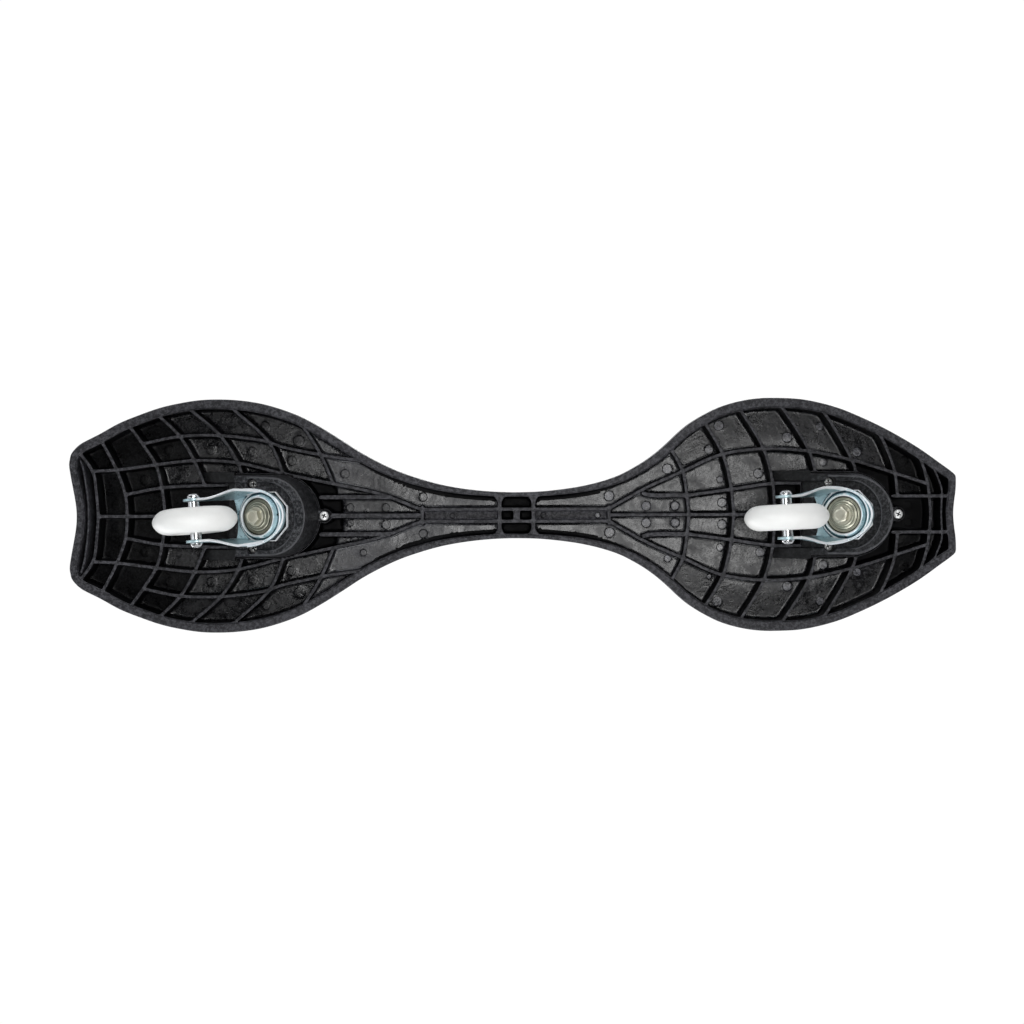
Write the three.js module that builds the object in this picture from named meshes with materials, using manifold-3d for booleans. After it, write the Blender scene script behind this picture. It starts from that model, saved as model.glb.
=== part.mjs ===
// Two-wheeled caster board: a one-piece moulded deck with two foot platforms
// joined by a narrow twisting neck, and a raked swivel caster under each.
// Millimetres, +Z up, nose towards +X, wheels standing on z = 0.
import * as THREE from 'three';
import { mergeVertices } from 'three/addons/utils/BufferGeometryUtils.js';
import Module from 'manifold-3d';

const wasm = await Module();
wasm.setup();
const { Manifold, Mesh } = wasm;

// ---------------------------------------------------------------- dimensions
const GAP = 0.3;                 // clearance between neighbouring pieces
// deck
const DECK_TOP = 129;            // flat top of the foot platforms
const TRACTION_TOP = 130;        // crest of the moulded traction bars
const RIM_BOTTOM = 98;           // lower edge of the downward rim
const RIB_BOTTOM = 99;           // lower edge of the stiffening ribs
const CELL_FLOOR = 124;          // underside of the top skin between ribs
const NECK_FLOOR = 112;          // the same in the thicker neck
const CHANNEL_FLOOR = 106;       // and in the narrow channel along its middle
const RIM_WIDTH = 7.7;           // rim lip at the tail and nose, a little wider over the platforms
const RIM_WIDTH_NECK = 3.5;      // rim lip at the neck
const RIB_WIDTH = 2.7;
const WIDE_RIB = 4.2;             // the stronger ribs that run into the neck
const THIN_RIB = 1.8;             // low ridge inside each end of the rim
const X_SHIFT = 0.9;             // centres the outline on the origin
const NECK_X = 3.7;              // plane where the two deck halves twist
// raked caster
const RAKE = 30 * Math.PI / 180; // swivel axis tilt, lower end to the tail
const REAR_RING = [-231.8, 0, 56.83];  // centre of the fork's lower ring, rear
const FRONT_RING = [299.1, 0, 56.82];  // same, front
const REAR_YAW = -5.0 * Math.PI / 180; // how far each fork is turned at rest
const FRONT_YAW = -2.9 * Math.PI / 180;
const TRAIL = 36.7;              // axle behind the swivel axis, square to it
const DROP = 43.0;               // axle below the ring plane, along the axis
// wheel
const WHEEL_R = 38;
const WHEEL_HALF = 11.5;
const HUB_R = 22;
const AXLE_R = 3.85;
const BORE_R = AXLE_R + GAP;
const BEARING_R = 10.9;
// fork
const PLATE_R = 26.5;            // half width of the fork where its arms leave the head
// half outline of the fork's head from its front to its back: x, half width
const HEAD = [
  [27.7, 0], [27.1, 4.2], [25.4, 8.6], [22.5, 12.7], [18.6, 16.3], [14, 19.5], [9.3, 22.0], [4, 24.0], [-2, 25.5], [-8, 26.4], [-15, 26.9], [-22.5, 26.9], [-25, 24.0],
];
const ARM_IN = 17.5;             // inner face of the arms at the axle
const ARM_T = 2.2;
// base plate and wedge
const BASE_HALF = 22.6;            // octagon, across flats / 2
const PLATE_Z = 15.2;            // underside of the base plate along the axis
const PLATE_T = 2.5;
const WEDGE_TOP = 99.4;
const WEDGE_SEAT = [14.5, 38, -30.5];  // centre, radius and back end of its U, from the ring centre
const LUG_R = 4.6;                   // lug under its front screw
const LEGS = [-57, 31, 40.8, 109];   // its two legs: back end, inner side, outer side, top

// half outline of the deck: x, half width (mm), tail to nose
const OUTLINE = [
  [-404.9, 0.0], [-405.2, 7.0], [-406.2, 15.0], [-408.2, 26.0], [-410.4, 38.0], [-411.7, 48.2], [-411.0, 53.2], [-409.9, 57.6],
  [-406.6, 62.1], [-401.4, 66.9], [-383.4, 76.3], [-364.8, 86.5], [-346.1, 94.0], [-327.6, 100.4], [-309.0, 104.7], [-290.4, 107.5],
  [-271.8, 108.1], [-253.1, 107.1], [-234.5, 104.3], [-215.9, 99.2], [-197.2, 92.0], [-178.6, 82.0], [-160.0, 70.4], [-141.5, 58.5],
  [-123.1, 48.5], [-104.7, 40.2], [-86.3, 33.9], [-67.9, 28.8], [-49.3, 25.3], [-30.9, 23.0], [-12.5, 21.7], [5.0, 21.4],
  [24.4, 22.0], [43.0, 23.8], [61.4, 26.5], [79.9, 30.7], [98.4, 36.9], [111.7, 43.7], [123.7, 51.0], [135.3, 59.7],
  [144.6, 68.0], [153.9, 76.8], [163.1, 84.3], [175.5, 92.0], [191.0, 99.6], [209.6, 105.1], [228.2, 107.8], [246.8, 108.0],
  [265.5, 106.9], [284.1, 103.4], [302.7, 98.0], [321.3, 90.3], [340.0, 81.5], [358.6, 71.4], [377.2, 60.0], [395.7, 46.7],
  [405.4, 39.6], [409.5, 35.6], [409.9, 30.6], [409.6, 22.0], [408.2, 11.0], [407.4, 0.0],
];

// rib centre lines on one side of the mid line: x, y (mm)
const REAR_CROSS = [
  [[-402.5, 60.0], [-389.4, 40.3], [-386.4, 20.0], [-384.7, 0]],
  [[-384.0, 76.0], [-381.0, 69.1], [-368.1, 44.1], [-359.7, 20.0], [-357.9, 0]],
  [[-358.0, 87.0], [-343.1, 66.3], [-331.0, 46.9], [-325.5, 24.6], [-322.7, 0]],
  [[-332.0, 97.0], [-326.4, 91.3], [-308.8, 73.7], [-294.9, 49.6], [-285.6, 27.4]],
  [[-303.0, 103.0], [-296.8, 96.9], [-270.8, 73.7], [-254.2, 46.9], [-250.5, 33.0]],
  [[-264.0, 104.0], [-257.9, 97.8], [-225.5, 67.2], [-213.4, 39.4], [-209.0, 30.0]],
  [[-199.0, 88.0], [-193.1, 80.2], [-179.2, 58.0], [-167.1, 30.2]],
];
const REAR_LONG = [
  [[-343.1, 67.2], [-310.6, 73.7], [-272.7, 74.6], [-229.2, 69.1], [-216.2, 64.4], [-181.0, 57.0], [-171.8, 55.2], [-141.0, 51.0]],
  [[-389.4, 42.0], [-368.1, 43.1], [-331.0, 47.8], [-294.9, 51.5], [-257.9, 49.6], [-214.4, 39.4], [-169.9, 30.2], [-123.6, 20.0], [-85.6, 5.6]],
  [[-360.6, 20.0], [-325.5, 26.5], [-287.5, 28.3], [-262.0, 29.0]],
];
const REAR_WIDE = [[[-180.0, 17.2], [-114.0, 17.2]]];
const REAR_CENTRE = [[[-386, 0], [-262, 0]], [[-84.6, -9], [-84.6, 9]]];
const REAR_CENTRE_WIDE = [[[-175, 0], [-84, 0]]];
// half of the region where the floor between the ribs lies at the neck's level
const NECK_ZONE = [
  [-199.0, 88.0], [-193.1, 80.2], [-179.2, 58.0], [-167.1, 30.2], [-164.4, 17.2], [-160.0, 17.2], [-159.0, 0],
  [162.5, 0], [160.6, 18.0], [156.9, 40.2], [147.7, 57.9], [141.0, 69.0], [120.0, 69.0], [60.0, 40.0], [-100.0, 50.0], [-160.0, 88.0],
];
const END_RIDGES = [
  [[-401.5, 53.0], [-398.2, 42.0], [-396.0, 28.0], [-394.3, 14.0], [-393.8, 0]],
  [[388.5, 45.0], [393.5, 33.0], [397.0, 22.0], [396.6, 10.0], [396.3, 0]],
];
const NECK_RIBS = [
  [[-86, 5.6], [3.4, 5.6]], [[-86, -5.6], [3.4, -5.6]],
  [[1.3, -5], [1.3, 5]], [[4.3, -5], [4.3, 5]],
  [[3.2, 5.6], [90, 5.6]], [[3.2, -5.6], [90, -5.6]],
];
const NECK_WALLS = [[[-12.9, -19], [-12.9, 19]], [[18.3, -19], [18.3, 19]]];
const FRONT_CROSS = [
  [[141.0, 69.0], [147.7, 57.9], [156.9, 40.2], [160.6, 18.0], [162.5, 0]],
  [[172.0, 93.0], [178.2, 83.7], [194.0, 55.9], [201.4, 26.3], [204.2, 0]],
  [[206.0, 104.0], [211.6, 95.0], [231.9, 60.6], [240.3, 28.1], [242.1, 0]],
  [[244.0, 106.0], [249.5, 98.5], [274.5, 57.8], [281.0, 32.0]],
  [[282.0, 101.0], [289.4, 92.0], [314.4, 48.5], [319.0, 32.0]],
  [[331.0, 84.0], [338.4, 75.4], [352.3, 43.0], [356.0, 16.7]],
  [[371.0, 60.0], [377.3, 50.4], [383.8, 28.1], [386.6, 0]],
];
const FRONT_LONG = [
  [[88.0, 5.6], [122.7, 25.0], [156.9, 40.2], [190.3, 55.0], [227.3, 60.6], [271.8, 58.7], [312.5, 50.4], [352.3, 38.3], [383.8, 28.1]],
  [[162.0, 18.0], [202.3, 23.5], [239.4, 28.6], [268.0, 29.0]],
  [[350.0, 16.7], [406.0, 16.7]],
];
const FRONT_WIDE = [[[119.0, 20.5], [125.0, 18.5], [163.0, 18.0]]];
const FRONT_CENTRE = [[[88, 0], [270, 0]], [[88.5, -9], [88.5, 9]]];

// ---------------------------------------------------------------- shape tools
const V = (x, y, z) => new THREE.Vector3(x, y, z);

// closed solid from any closed geometry: welds corners, drops slivers, turns it right side out
function solid(geometry) {
  const g = geometry.clone();
  for (const name of Object.keys(g.attributes)) if (name !== 'position') g.deleteAttribute(name);
  const welded = mergeVertices(g, 1e-4);
  const pos = welded.attributes.position.array;
  const idx = welded.index.array;
  const tris = [];
  for (let i = 0; i < idx.length; i += 3) {
    const [a, b, c] = [idx[i], idx[i + 1], idx[i + 2]];
    if (a !== b && b !== c && a !== c) tris.push(a, b, c);
  }
  let volume = 0;
  for (let i = 0; i < tris.length; i += 3) {
    const [a, b, c] = [tris[i] * 3, tris[i + 1] * 3, tris[i + 2] * 3];
    volume += pos[a] * (pos[b + 1] * pos[c + 2] - pos[b + 2] * pos[c + 1])
      - pos[a + 1] * (pos[b] * pos[c + 2] - pos[b + 2] * pos[c])
      + pos[a + 2] * (pos[b] * pos[c + 1] - pos[b + 1] * pos[c]);
  }
  if (volume < 0) for (let i = 0; i < tris.length; i += 3) [tris[i], tris[i + 1]] = [tris[i + 1], tris[i]];
  return new Manifold(new Mesh({ numProp: 3, vertProperties: new Float32Array(pos), triVerts: new Uint32Array(tris) }));
}

function geometryOf(m) {
  const mesh = m.getMesh();
  const g = new THREE.BufferGeometry();
  g.setAttribute('position', new THREE.BufferAttribute(new Float32Array(mesh.vertProperties), 3));
  g.setIndex(new THREE.BufferAttribute(new Uint32Array(mesh.triVerts), 1));
  return g;
}

// surface of revolution about Z from a closed profile of (radius, z)
function turned(profile, segments, start = 0) {
  const pts = profile.map(([r, z]) => new THREE.Vector2(r, z));
  pts.push(pts[0].clone());
  const g = new THREE.LatheGeometry(pts, segments, start);
  g.rotateX(Math.PI / 2);
  return solid(g);
}

// the same about Y, through the point (x, z)
function turnedY(profile, segments, x, z) {
  const pts = profile.map(([r, y]) => new THREE.Vector2(r, y));
  pts.push(pts[0].clone());
  const g = new THREE.LatheGeometry(pts, segments);
  g.translate(x, 0, z);
  return solid(g);
}

function prism(points, z0, z1) {
  const shape = new THREE.Shape(points.map(([x, y]) => new THREE.Vector2(x, y)));
  const g = new THREE.ExtrudeGeometry(shape, { depth: z1 - z0, bevelEnabled: false });
  g.translate(0, 0, z0);
  return solid(g);
}

function block(x0, x1, y0, y1, z0, z1) {
  const g = new THREE.BoxGeometry(x1 - x0, y1 - y0, z1 - z0);
  g.translate((x0 + x1) / 2, (y0 + y1) / 2, (z0 + z1) / 2);
  return solid(g);
}

function rod(r, z0, z1, segments = 24, x = 0, y = 0) {
  const g = new THREE.CylinderGeometry(r, r, z1 - z0, segments);
  g.rotateX(Math.PI / 2);
  g.translate(x, y, (z0 + z1) / 2);
  return solid(g);
}

function rodY(r, y0, y1, x, z, segments = 24) {
  const g = new THREE.CylinderGeometry(r, r, y1 - y0, segments);
  g.translate(x, (y0 + y1) / 2, z);
  return solid(g);
}

function hexRod(flats, z0, z1, x = 0, y = 0) {
  const r = flats / 2 / Math.cos(Math.PI / 6);
  const g = new THREE.CylinderGeometry(r, r, z1 - z0, 6);
  g.rotateX(Math.PI / 2);
  g.translate(x, y, (z0 + z1) / 2);
  return solid(g);
}

// stacked closed rings of equal count, capped at both ends
function loft(stack) {
  const area = THREE.ShapeUtils.area(stack[0].map(([x, y]) => new THREE.Vector2(x, y)));
  const rings = area < 0 ? stack.map((ring) => ring.slice().reverse()) : stack;
  const n = rings[0].length;
  const pos = [];
  for (const ring of rings) for (const [x, y, z] of ring) pos.push(x, y, z);
  const idx = [];
  for (let k = 0; k + 1 < rings.length; k += 1) {
    for (let i = 0; i < n; i += 1) {
      const a = k * n + i, b = k * n + (i + 1) % n, c = a + n, d = b + n;
      idx.push(a, b, d, a, d, c);
    }
  }
  const cap = THREE.ShapeUtils.triangulateShape(rings[0].map(([x, y]) => new THREE.Vector2(x, y)), []);
  const last = (rings.length - 1) * n;
  for (const [a, b, c] of cap) { idx.push(a, c, b); idx.push(last + a, last + b, last + c); }
  const g = new THREE.BufferGeometry();
  g.setAttribute('position', new THREE.Float32BufferAttribute(pos, 3));
  g.setIndex(idx);
  return solid(g);
}

// strip of constant width along a centre line, mitred at its corners
function strip(line, width) {
  const h = width / 2;
  const left = [], right = [];
  for (let i = 0; i < line.length; i += 1) {
    const p = new THREE.Vector2(...line[i]);
    const before = i > 0 ? p.clone().sub(new THREE.Vector2(...line[i - 1])).normalize() : null;
    const after = i + 1 < line.length ? new THREE.Vector2(...line[i + 1]).sub(p).normalize() : null;
    const t = before && after ? before.clone().add(after).normalize() : (before || after);
    const nrm = new THREE.Vector2(-t.y, t.x);
    const k = before && after ? h / Math.max(0.4, before.dot(t)) : h;
    left.push([p.x + nrm.x * k, p.y + nrm.y * k]);
    right.push([p.x - nrm.x * k, p.y - nrm.y * k]);
  }
  return left.concat(right.reverse());
}

function union(list) {
  let out = list[0];
  for (const m of list.slice(1)) out = out.add(m);
  return out;
}

const mirrorLine = (line) => line.map(([x, y]) => [x, -y]);

// ---------------------------------------------------------------- deck
function closedOutline() {
  const upper = OUTLINE.map(([x, y]) => [x + X_SHIFT, y]);
  const lower = OUTLINE.slice(1, -1).reverse().map(([x, y]) => [x + X_SHIFT, -y]);
  return upper.concat(lower);                       // clockwise seen from above
}

function insetOutline(distance) {
  const base = closedOutline();
  const n = base.length;
  return base.map(([x, y], i) => {
    const [ax, ay] = base[(i + n - 1) % n];
    const [bx, by] = base[(i + 1) % n];
    const len = Math.hypot(bx - ax, by - ay);
    const nx = (by - ay) / len, ny = -(bx - ax) / len;
    const d = typeof distance === 'function' ? distance(x) : distance;
    return [x + nx * d, y + ny * d];
  });
}

const rimWidth = (x) => {
  const neck = Math.exp(-(((x - NECK_X) / 95) ** 2));
  const ends = Math.max(0, (Math.abs(x) - 395) / 17);
  const wide = 1.3 * Math.exp(-(((x - 230) / 50) ** 2)) + 0.8 * Math.exp(-(((x + 255) / 45) ** 2));
  return RIM_WIDTH + wide - (RIM_WIDTH - RIM_WIDTH_NECK) * neck - 1.7 * Math.min(1, ends);
};

const ring3 = (points, z) => points.map(([x, y]) => [x, y, z]);

// U-shaped footprint of the wedge: round front, straight sides, square back
function footprint(cx, r, back, grow = 0, n = 14) {
  const pts = [];
  for (let i = 0; i <= n; i += 1) {
    const a = -Math.PI / 2 + Math.PI * i / n;
    pts.push([cx + (r + grow) * Math.cos(a), (r + grow) * Math.sin(a)]);
  }
  pts.push([back - grow, r + grow], [back - grow, -(r + grow)]);
  return pts;
}

const SCREWS = [[-7.5, 29.6, 'left'], [-7.5, -29.6, 'right'], [57.5, 0, 'front']];

function wholeDeck() {
  const body = loft([
    ring3(insetOutline(0.7), RIM_BOTTOM),
    ring3(insetOutline(0), RIM_BOTTOM + 0.8),
    ring3(insetOutline(0), DECK_TOP - 6),
    ring3(insetOutline(1.6), DECK_TOP - 1.8),
    ring3(insetOutline(5.4), DECK_TOP),
  ]);
  const pocket = insetOutline(rimWidth);
  const openLayer = loft([ring3(pocket, RIM_BOTTOM - 5), ring3(pocket, RIB_BOTTOM)]);
  const hollow = loft([ring3(pocket, RIB_BOTTOM - 1), ring3(pocket, CELL_FLOOR)]);
  const ribs = [];
  const rib = (line, width, low) => {
    ribs.push(prism(strip(line.map(([x, y]) => [x + X_SHIFT, y]), width), low, CELL_FLOOR + 3));
  };
  for (const [sets, width, low] of [
    [[REAR_CROSS, REAR_LONG, FRONT_CROSS, FRONT_LONG], RIB_WIDTH, RIB_BOTTOM - 3],
    [[REAR_WIDE, FRONT_WIDE], WIDE_RIB, RIB_BOTTOM - 3],
    [[END_RIDGES], THIN_RIB, RIB_BOTTOM + 2],
  ]) for (const set of sets) for (const line of set) { rib(line, width, low); rib(mirrorLine(line), width, low); }
  for (const set of [REAR_CENTRE, NECK_RIBS, FRONT_CENTRE]) for (const line of set) rib(line, RIB_WIDTH, RIB_BOTTOM - 3);
  for (const set of [REAR_CENTRE_WIDE, NECK_WALLS]) for (const line of set) rib(line, WIDE_RIB, RIB_BOTTOM - 3);
  const zone = NECK_ZONE.map(([x, y]) => [x + X_SHIFT, y]);
  const thick = union([
    prism(zone, NECK_FLOOR, CELL_FLOOR + 2), prism(mirrorLine(zone), NECK_FLOOR, CELL_FLOOR + 2),
    block(-160 + X_SHIFT, 160 + X_SHIFT, -2, 2, NECK_FLOOR, CELL_FLOOR + 2),
    block(-84, -13, -6, 6, CHANNEL_FLOOR, NECK_FLOOR + 1), block(19, 88, -6, 6, CHANNEL_FLOOR, NECK_FLOOR + 1),
  ]).subtract(block(-11.9, 19.1, -18, 18, CELL_FLOOR - 20, CELL_FLOOR));
  let deck = body.subtract(openLayer).subtract(hollow.subtract(union(ribs)).subtract(thick));
  // seat wall and screw posts under each wedge
  for (const [cx] of [REAR_RING, FRONT_RING]) {
    const [mid, radius, back] = WEDGE_SEAT;
    const outer = prism(footprint(cx + mid, radius, cx + back), RIB_BOTTOM - 0.5, CELL_FLOOR + 1);
    const inner = prism(footprint(cx + mid, radius - 3, cx + back + 3), RIB_BOTTOM - 2, CELL_FLOOR + 2);
    deck = deck.add(outer.subtract(inner));
    for (const [dx, dy] of SCREWS) deck = deck.add(rod(5, RIB_BOTTOM - 0.5, CELL_FLOOR + 1, 14, cx + dx, dy));
    const seat = prism(footprint(cx + mid, radius, cx + back, GAP + 0.2), RIM_BOTTOM - 9, WEDGE_TOP + GAP)
      .add(rod(LUG_R + GAP, RIM_BOTTOM - 9, WEDGE_TOP + GAP, 14, cx + 57.5, 0))
      .add(block(cx + 48, cx + 57.5, -LUG_R - GAP, LUG_R + GAP, RIM_BOTTOM - 9, WEDGE_TOP + GAP));
    deck = deck.subtract(seat);
    const [end, inside, outside, top] = LEGS;
    for (const side of [1, -1]) {
      const [y0, y1] = [side * (inside - GAP), side * (outside + GAP)];
      deck = deck.subtract(block(cx + end - GAP, cx + back + 1, Math.min(y0, y1), Math.max(y0, y1), RIM_BOTTOM - 9, top + GAP));
    }
    for (const [dx, dy] of SCREWS) deck = deck.subtract(rod(2.3, RIM_BOTTOM, 113, 10, cx + dx, dy));
  }
  // moulded traction bars across each platform, leaving its centre plain
  const bars = [];
  for (const [cx, width] of [[-258, 82], [232, 82]]) {
    for (let k = -5; k <= 5; k += 1) {
      if (Math.abs(k) < 2) continue;
      const x = cx + k * 18;
      const reach = width * Math.sqrt(1 - (k / 6.6) ** 2);
      const bow = k * 1.6;
      bars.push(prism(strip([[x - bow, -reach], [x, -reach / 2], [x + bow * 0.4, 0], [x, reach / 2], [x - bow, reach]], 4), DECK_TOP - 1, TRACTION_TOP));
    }
  }
  return deck.add(union(bars));
}

const deck = wholeDeck();
const rearDeck = deck.intersect(block(-500, NECK_X - GAP / 2, -200, 200, 0, 200));
const frontDeck = deck.intersect(block(NECK_X + GAP / 2, 500, -200, 200, 0, 200));

// ---------------------------------------------------------------- caster
// Local frame: origin at the centre of the fork's lower ring, z up the swivel
// axis, x forward in the plane of the base plate, y to the left.
function casterMatrix(ring, yaw) {
  const m = new THREE.Matrix4().makeBasis(
    V(Math.cos(RAKE), 0, -Math.sin(RAKE)), V(0, 1, 0), V(Math.sin(RAKE), 0, Math.cos(RAKE)));
  m.setPosition(...ring);
  return m.multiply(new THREE.Matrix4().makeRotationZ(yaw));
}

function placed(m, matrix) {
  const g = geometryOf(m);
  g.applyMatrix4(matrix);
  return solid(g);
}

function wedge(ring) {
  const [cx, , cz] = ring;
  const [mid, radius, back] = WEDGE_SEAT;
  const level = (z, dx, r) => footprint(cx + dx, r, cx + back).map(([x, y]) => [x, y, z]);
  let m = loft([level(40, 9, 34), level(WEDGE_TOP - 3, mid - 0.2, radius - 0.2), level(WEDGE_TOP, mid, radius)]);
  m = m.add(rod(LUG_R, WEDGE_TOP - 2.8, WEDGE_TOP, 14, cx + 57.5, 0))
    .add(block(cx + 48, cx + 57.5, -LUG_R, LUG_R, WEDGE_TOP - 2.8, WEDGE_TOP));
  const [end, inside, outside, top] = LEGS;
  for (const side of [1, -1]) {
    const [y0, y1] = [Math.min(side * inside, side * outside), Math.max(side * inside, side * outside)];
    m = m.add(block(cx + end, cx + back + 0.5, y0, y1, 60, top)).add(block(cx + back - 1, cx + back + 6, y0, y1, 60, WEDGE_TOP));
  }
  const tilt = casterMatrix(ring, 0);
  const below = placed(block(-150, 150, -100, 100, -120, 15), tilt);
  const recess = placed(prism(footprint(0, 30.8, -90), 5, PLATE_Z + PLATE_T + GAP), tilt);
  const pin = placed(rod(BORE_R, 0, 45, 14), tilt);
  const nutPocket = placed(rod(9.2, 26.7, 90, 16), tilt);
  m = m.subtract(below).subtract(recess).subtract(pin).subtract(nutPocket);
  for (const [dx, dy] of SCREWS) {
    m = m.subtract(rod(2.3, 60, 110, 10, cx + dx, dy));
    if (dy) m = m.subtract(rod(4.8, 40, WEDGE_TOP - 2.8, 14, cx + dx, dy));
  }
  return m;
}

function panScrew(cx, dx, dy) {
  const seat = WEDGE_TOP - 2.8 - GAP;
  let m = turned([[0, seat - 2.9], [2.6, seat - 2.5], [4.1, seat - 0.8], [4.1, seat], [2, seat], [2, 111], [0, 112]], 12);
  m = m.subtract(block(-2.3, 2.3, -0.45, 0.45, seat - 4, seat - 1.5)).subtract(block(-0.45, 0.45, -2.3, 2.3, seat - 4, seat - 1.5));
  const g = geometryOf(m);
  g.translate(cx + dx, dy, 0);
  return solid(g);
}

function basePlate() {
  const r = BASE_HALF / Math.cos(Math.PI / 8);
  const pts = [];
  for (let i = 0; i < 8; i += 1) {
    const a = Math.PI / 8 + i * Math.PI / 4;
    pts.push([r * Math.cos(a), r * Math.sin(a)]);
  }
  return prism(pts, PLATE_Z, PLATE_Z + PLATE_T).subtract(rod(BORE_R, PLATE_Z - 1, PLATE_Z + PLATE_T + 1, 14));
}

const upperRace = () => turned([[14.5, 13.7], [23.6, 13.7], [23.6, 9.6], [25, 9.6], [25, PLATE_Z - GAP], [14.5, PLATE_Z - GAP]], 24);

function ballRing() {
  let m = turned([[17.4, 10.3], [20.6, 10.3], [20.6, 11.5], [17.4, 11.5]], 16);
  for (let i = 0; i < 8; i += 1) {
    const a = (i + 0.5) * Math.PI / 4;
    const g = new THREE.SphereGeometry(2.5, 6, 4);
    g.rotateX(Math.PI / 2);
    g.translate(19 * Math.cos(a), 19 * Math.sin(a), 10.9);
    m = m.add(solid(g));
  }
  return m;
}

// half width of the head at a distance in front of the swivel axis
function headHalf(x) {
  for (let i = 0; i + 2 < HEAD.length; i += 1) {
    const [x0, y0] = HEAD[i], [x1, y1] = HEAD[i + 1];
    if (x <= x0 && x >= x1) return y0 + (y1 - y0) * (x0 - x) / (x0 - x1);
  }
  return PLATE_R;
}

function forkArm(side) {
  const E = new THREE.Vector2(-TRAIL, -DROP);
  const d = E.clone().sub(new THREE.Vector2(-8, 6)).normalize();
  const nrm = new THREE.Vector2(-d.y, d.x);
  const R = 9.3;
  const a1 = E.clone().addScaledVector(nrm, R), b1 = E.clone().addScaledVector(nrm, -R);
  const a0 = new THREE.Vector2(5, 6.6), b0 = new THREE.Vector2(-24.8, 6.6);
  const aMid = new THREE.Vector2(-7.5, -22), bMid = new THREE.Vector2(-32, -14);
  const bez = (p, q, r, t) => new THREE.Vector2(
    (1 - t) ** 2 * p.x + 2 * t * (1 - t) * q.x + t * t * r.x,
    (1 - t) ** 2 * p.y + 2 * t * (1 - t) * q.y + t * t * r.y);
  const stations = [];
  for (let i = 0; i <= 8; i += 1) {
    const t = i / 8;
    const s = Math.min(1, Math.max(0, (t - 0.40) / 0.52));
    const ease = s * s * (3 - 2 * s);
    const low = bez(a0, aMid, a1, t);
    const y = Math.min((PLATE_R - ARM_T) + ((ARM_IN) - (PLATE_R - ARM_T)) * ease, headHalf(low.x) - ARM_T);   // inner face, lower edge
    stations.push([low, bez(b0, bMid, b1, t), y, ARM_IN]);
  }
  for (const deg of [22, 44, 64, 80]) {
    const b = deg * Math.PI / 180;
    stations.push([
      E.clone().addScaledVector(nrm, R * Math.cos(b)).addScaledVector(d, R * Math.sin(b)),
      E.clone().addScaledVector(nrm, -R * Math.cos(b)).addScaledVector(d, R * Math.sin(b)), ARM_IN, ARM_IN]);
  }
  const pos = [];
  for (const [a, b, y, far] of stations) {
    pos.push(a.x, side * y, a.y, b.x, side * far, b.y, b.x, side * (far + ARM_T), b.y, a.x, side * (y + ARM_T), a.y);
  }
  const idx = [];
  const n = stations.length;
  for (let k = 0; k + 1 < n; k += 1) {
    for (let i = 0; i < 4; i += 1) {
      const p = k * 4 + i, q = k * 4 + (i + 1) % 4;
      idx.push(p, q, q + 4, p, q + 4, p + 4);
    }
  }
  idx.push(0, 2, 1, 0, 3, 2);
  const l = (n - 1) * 4;
  idx.push(l, l + 1, l + 2, l, l + 2, l + 3);
  const g = new THREE.BufferGeometry();
  g.setAttribute('position', new THREE.Float32BufferAttribute(pos, 3));
  g.setIndex(idx);
  return solid(g).subtract(rodY(BORE_R, -40, 40, E.x, E.y, 14));
}

function fork() {
  const head = mirrorLine(HEAD.slice(1)).reverse().concat(HEAD);
  const within = head.map(([x, y], i) => {
    const [ax, ay] = head[(i + head.length - 1) % head.length];
    const [bx, by] = head[(i + 1) % head.length];
    const len = Math.hypot(bx - ax, by - ay);
    return [x - (by - ay) / len * ARM_T, y + (bx - ax) / len * ARM_T];
  });
  let m = prism(head, 5, 8);
  const lip = prism(head, 3, 6).subtract(prism(within, 2, 7)).intersect(block(-16, 40, -40, 40, 0, 20));
  m = m.add(lip).add(turned([[17.2, 0], [19.2, 0], [19.2, 6], [17.2, 6]], 30));
  m = m.add(turned([[21.0, 4.0], [22.6, 4.0], [22.9, 6], [20.7, 6]], 24));
  m = m.subtract(rod(9, 0, 20, 24));
  return m.add(forkArm(1)).add(forkArm(-1));
}

const cupWasher = () => turned([[BORE_R, -1.1], [10.2, -1.1], [11.2, 0.6], [12.6, 1.1], [13.2, 2.4], [15.8, 2.8], [16.9, 1.9], [16.9, 4.6], [BORE_R, 4.6]], 24);
const kingpinWasher = () => turned([[BORE_R, -2.7], [8.8, -2.7], [8.8, -1.4], [BORE_R, -1.4]], 20);
const swivelBush = () => turned([[BORE_R, 4.9], [8.6, 4.9], [8.6, 12], [10.5, 12.6], [10.5, PLATE_Z - GAP], [BORE_R, PLATE_Z - GAP]], 16);

function kingpin() {
  const chamfer = turned([[0, -8.2], [5.9, -8.2], [7.8, -7.2], [7.8, -3.0], [0, -3.0]], 18);
  return hexRod(13, -8.3, -3.0).intersect(chamfer)
    .add(turned([[0, -4], [AXLE_R, -4], [AXLE_R, 33.6], [AXLE_R - 0.8, 34.6], [0, 34.6]], 12));
}

const kingpinNut = () => hexRod(13, 27, 33.2).subtract(rod(BORE_R, 20, 40, 14));

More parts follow.
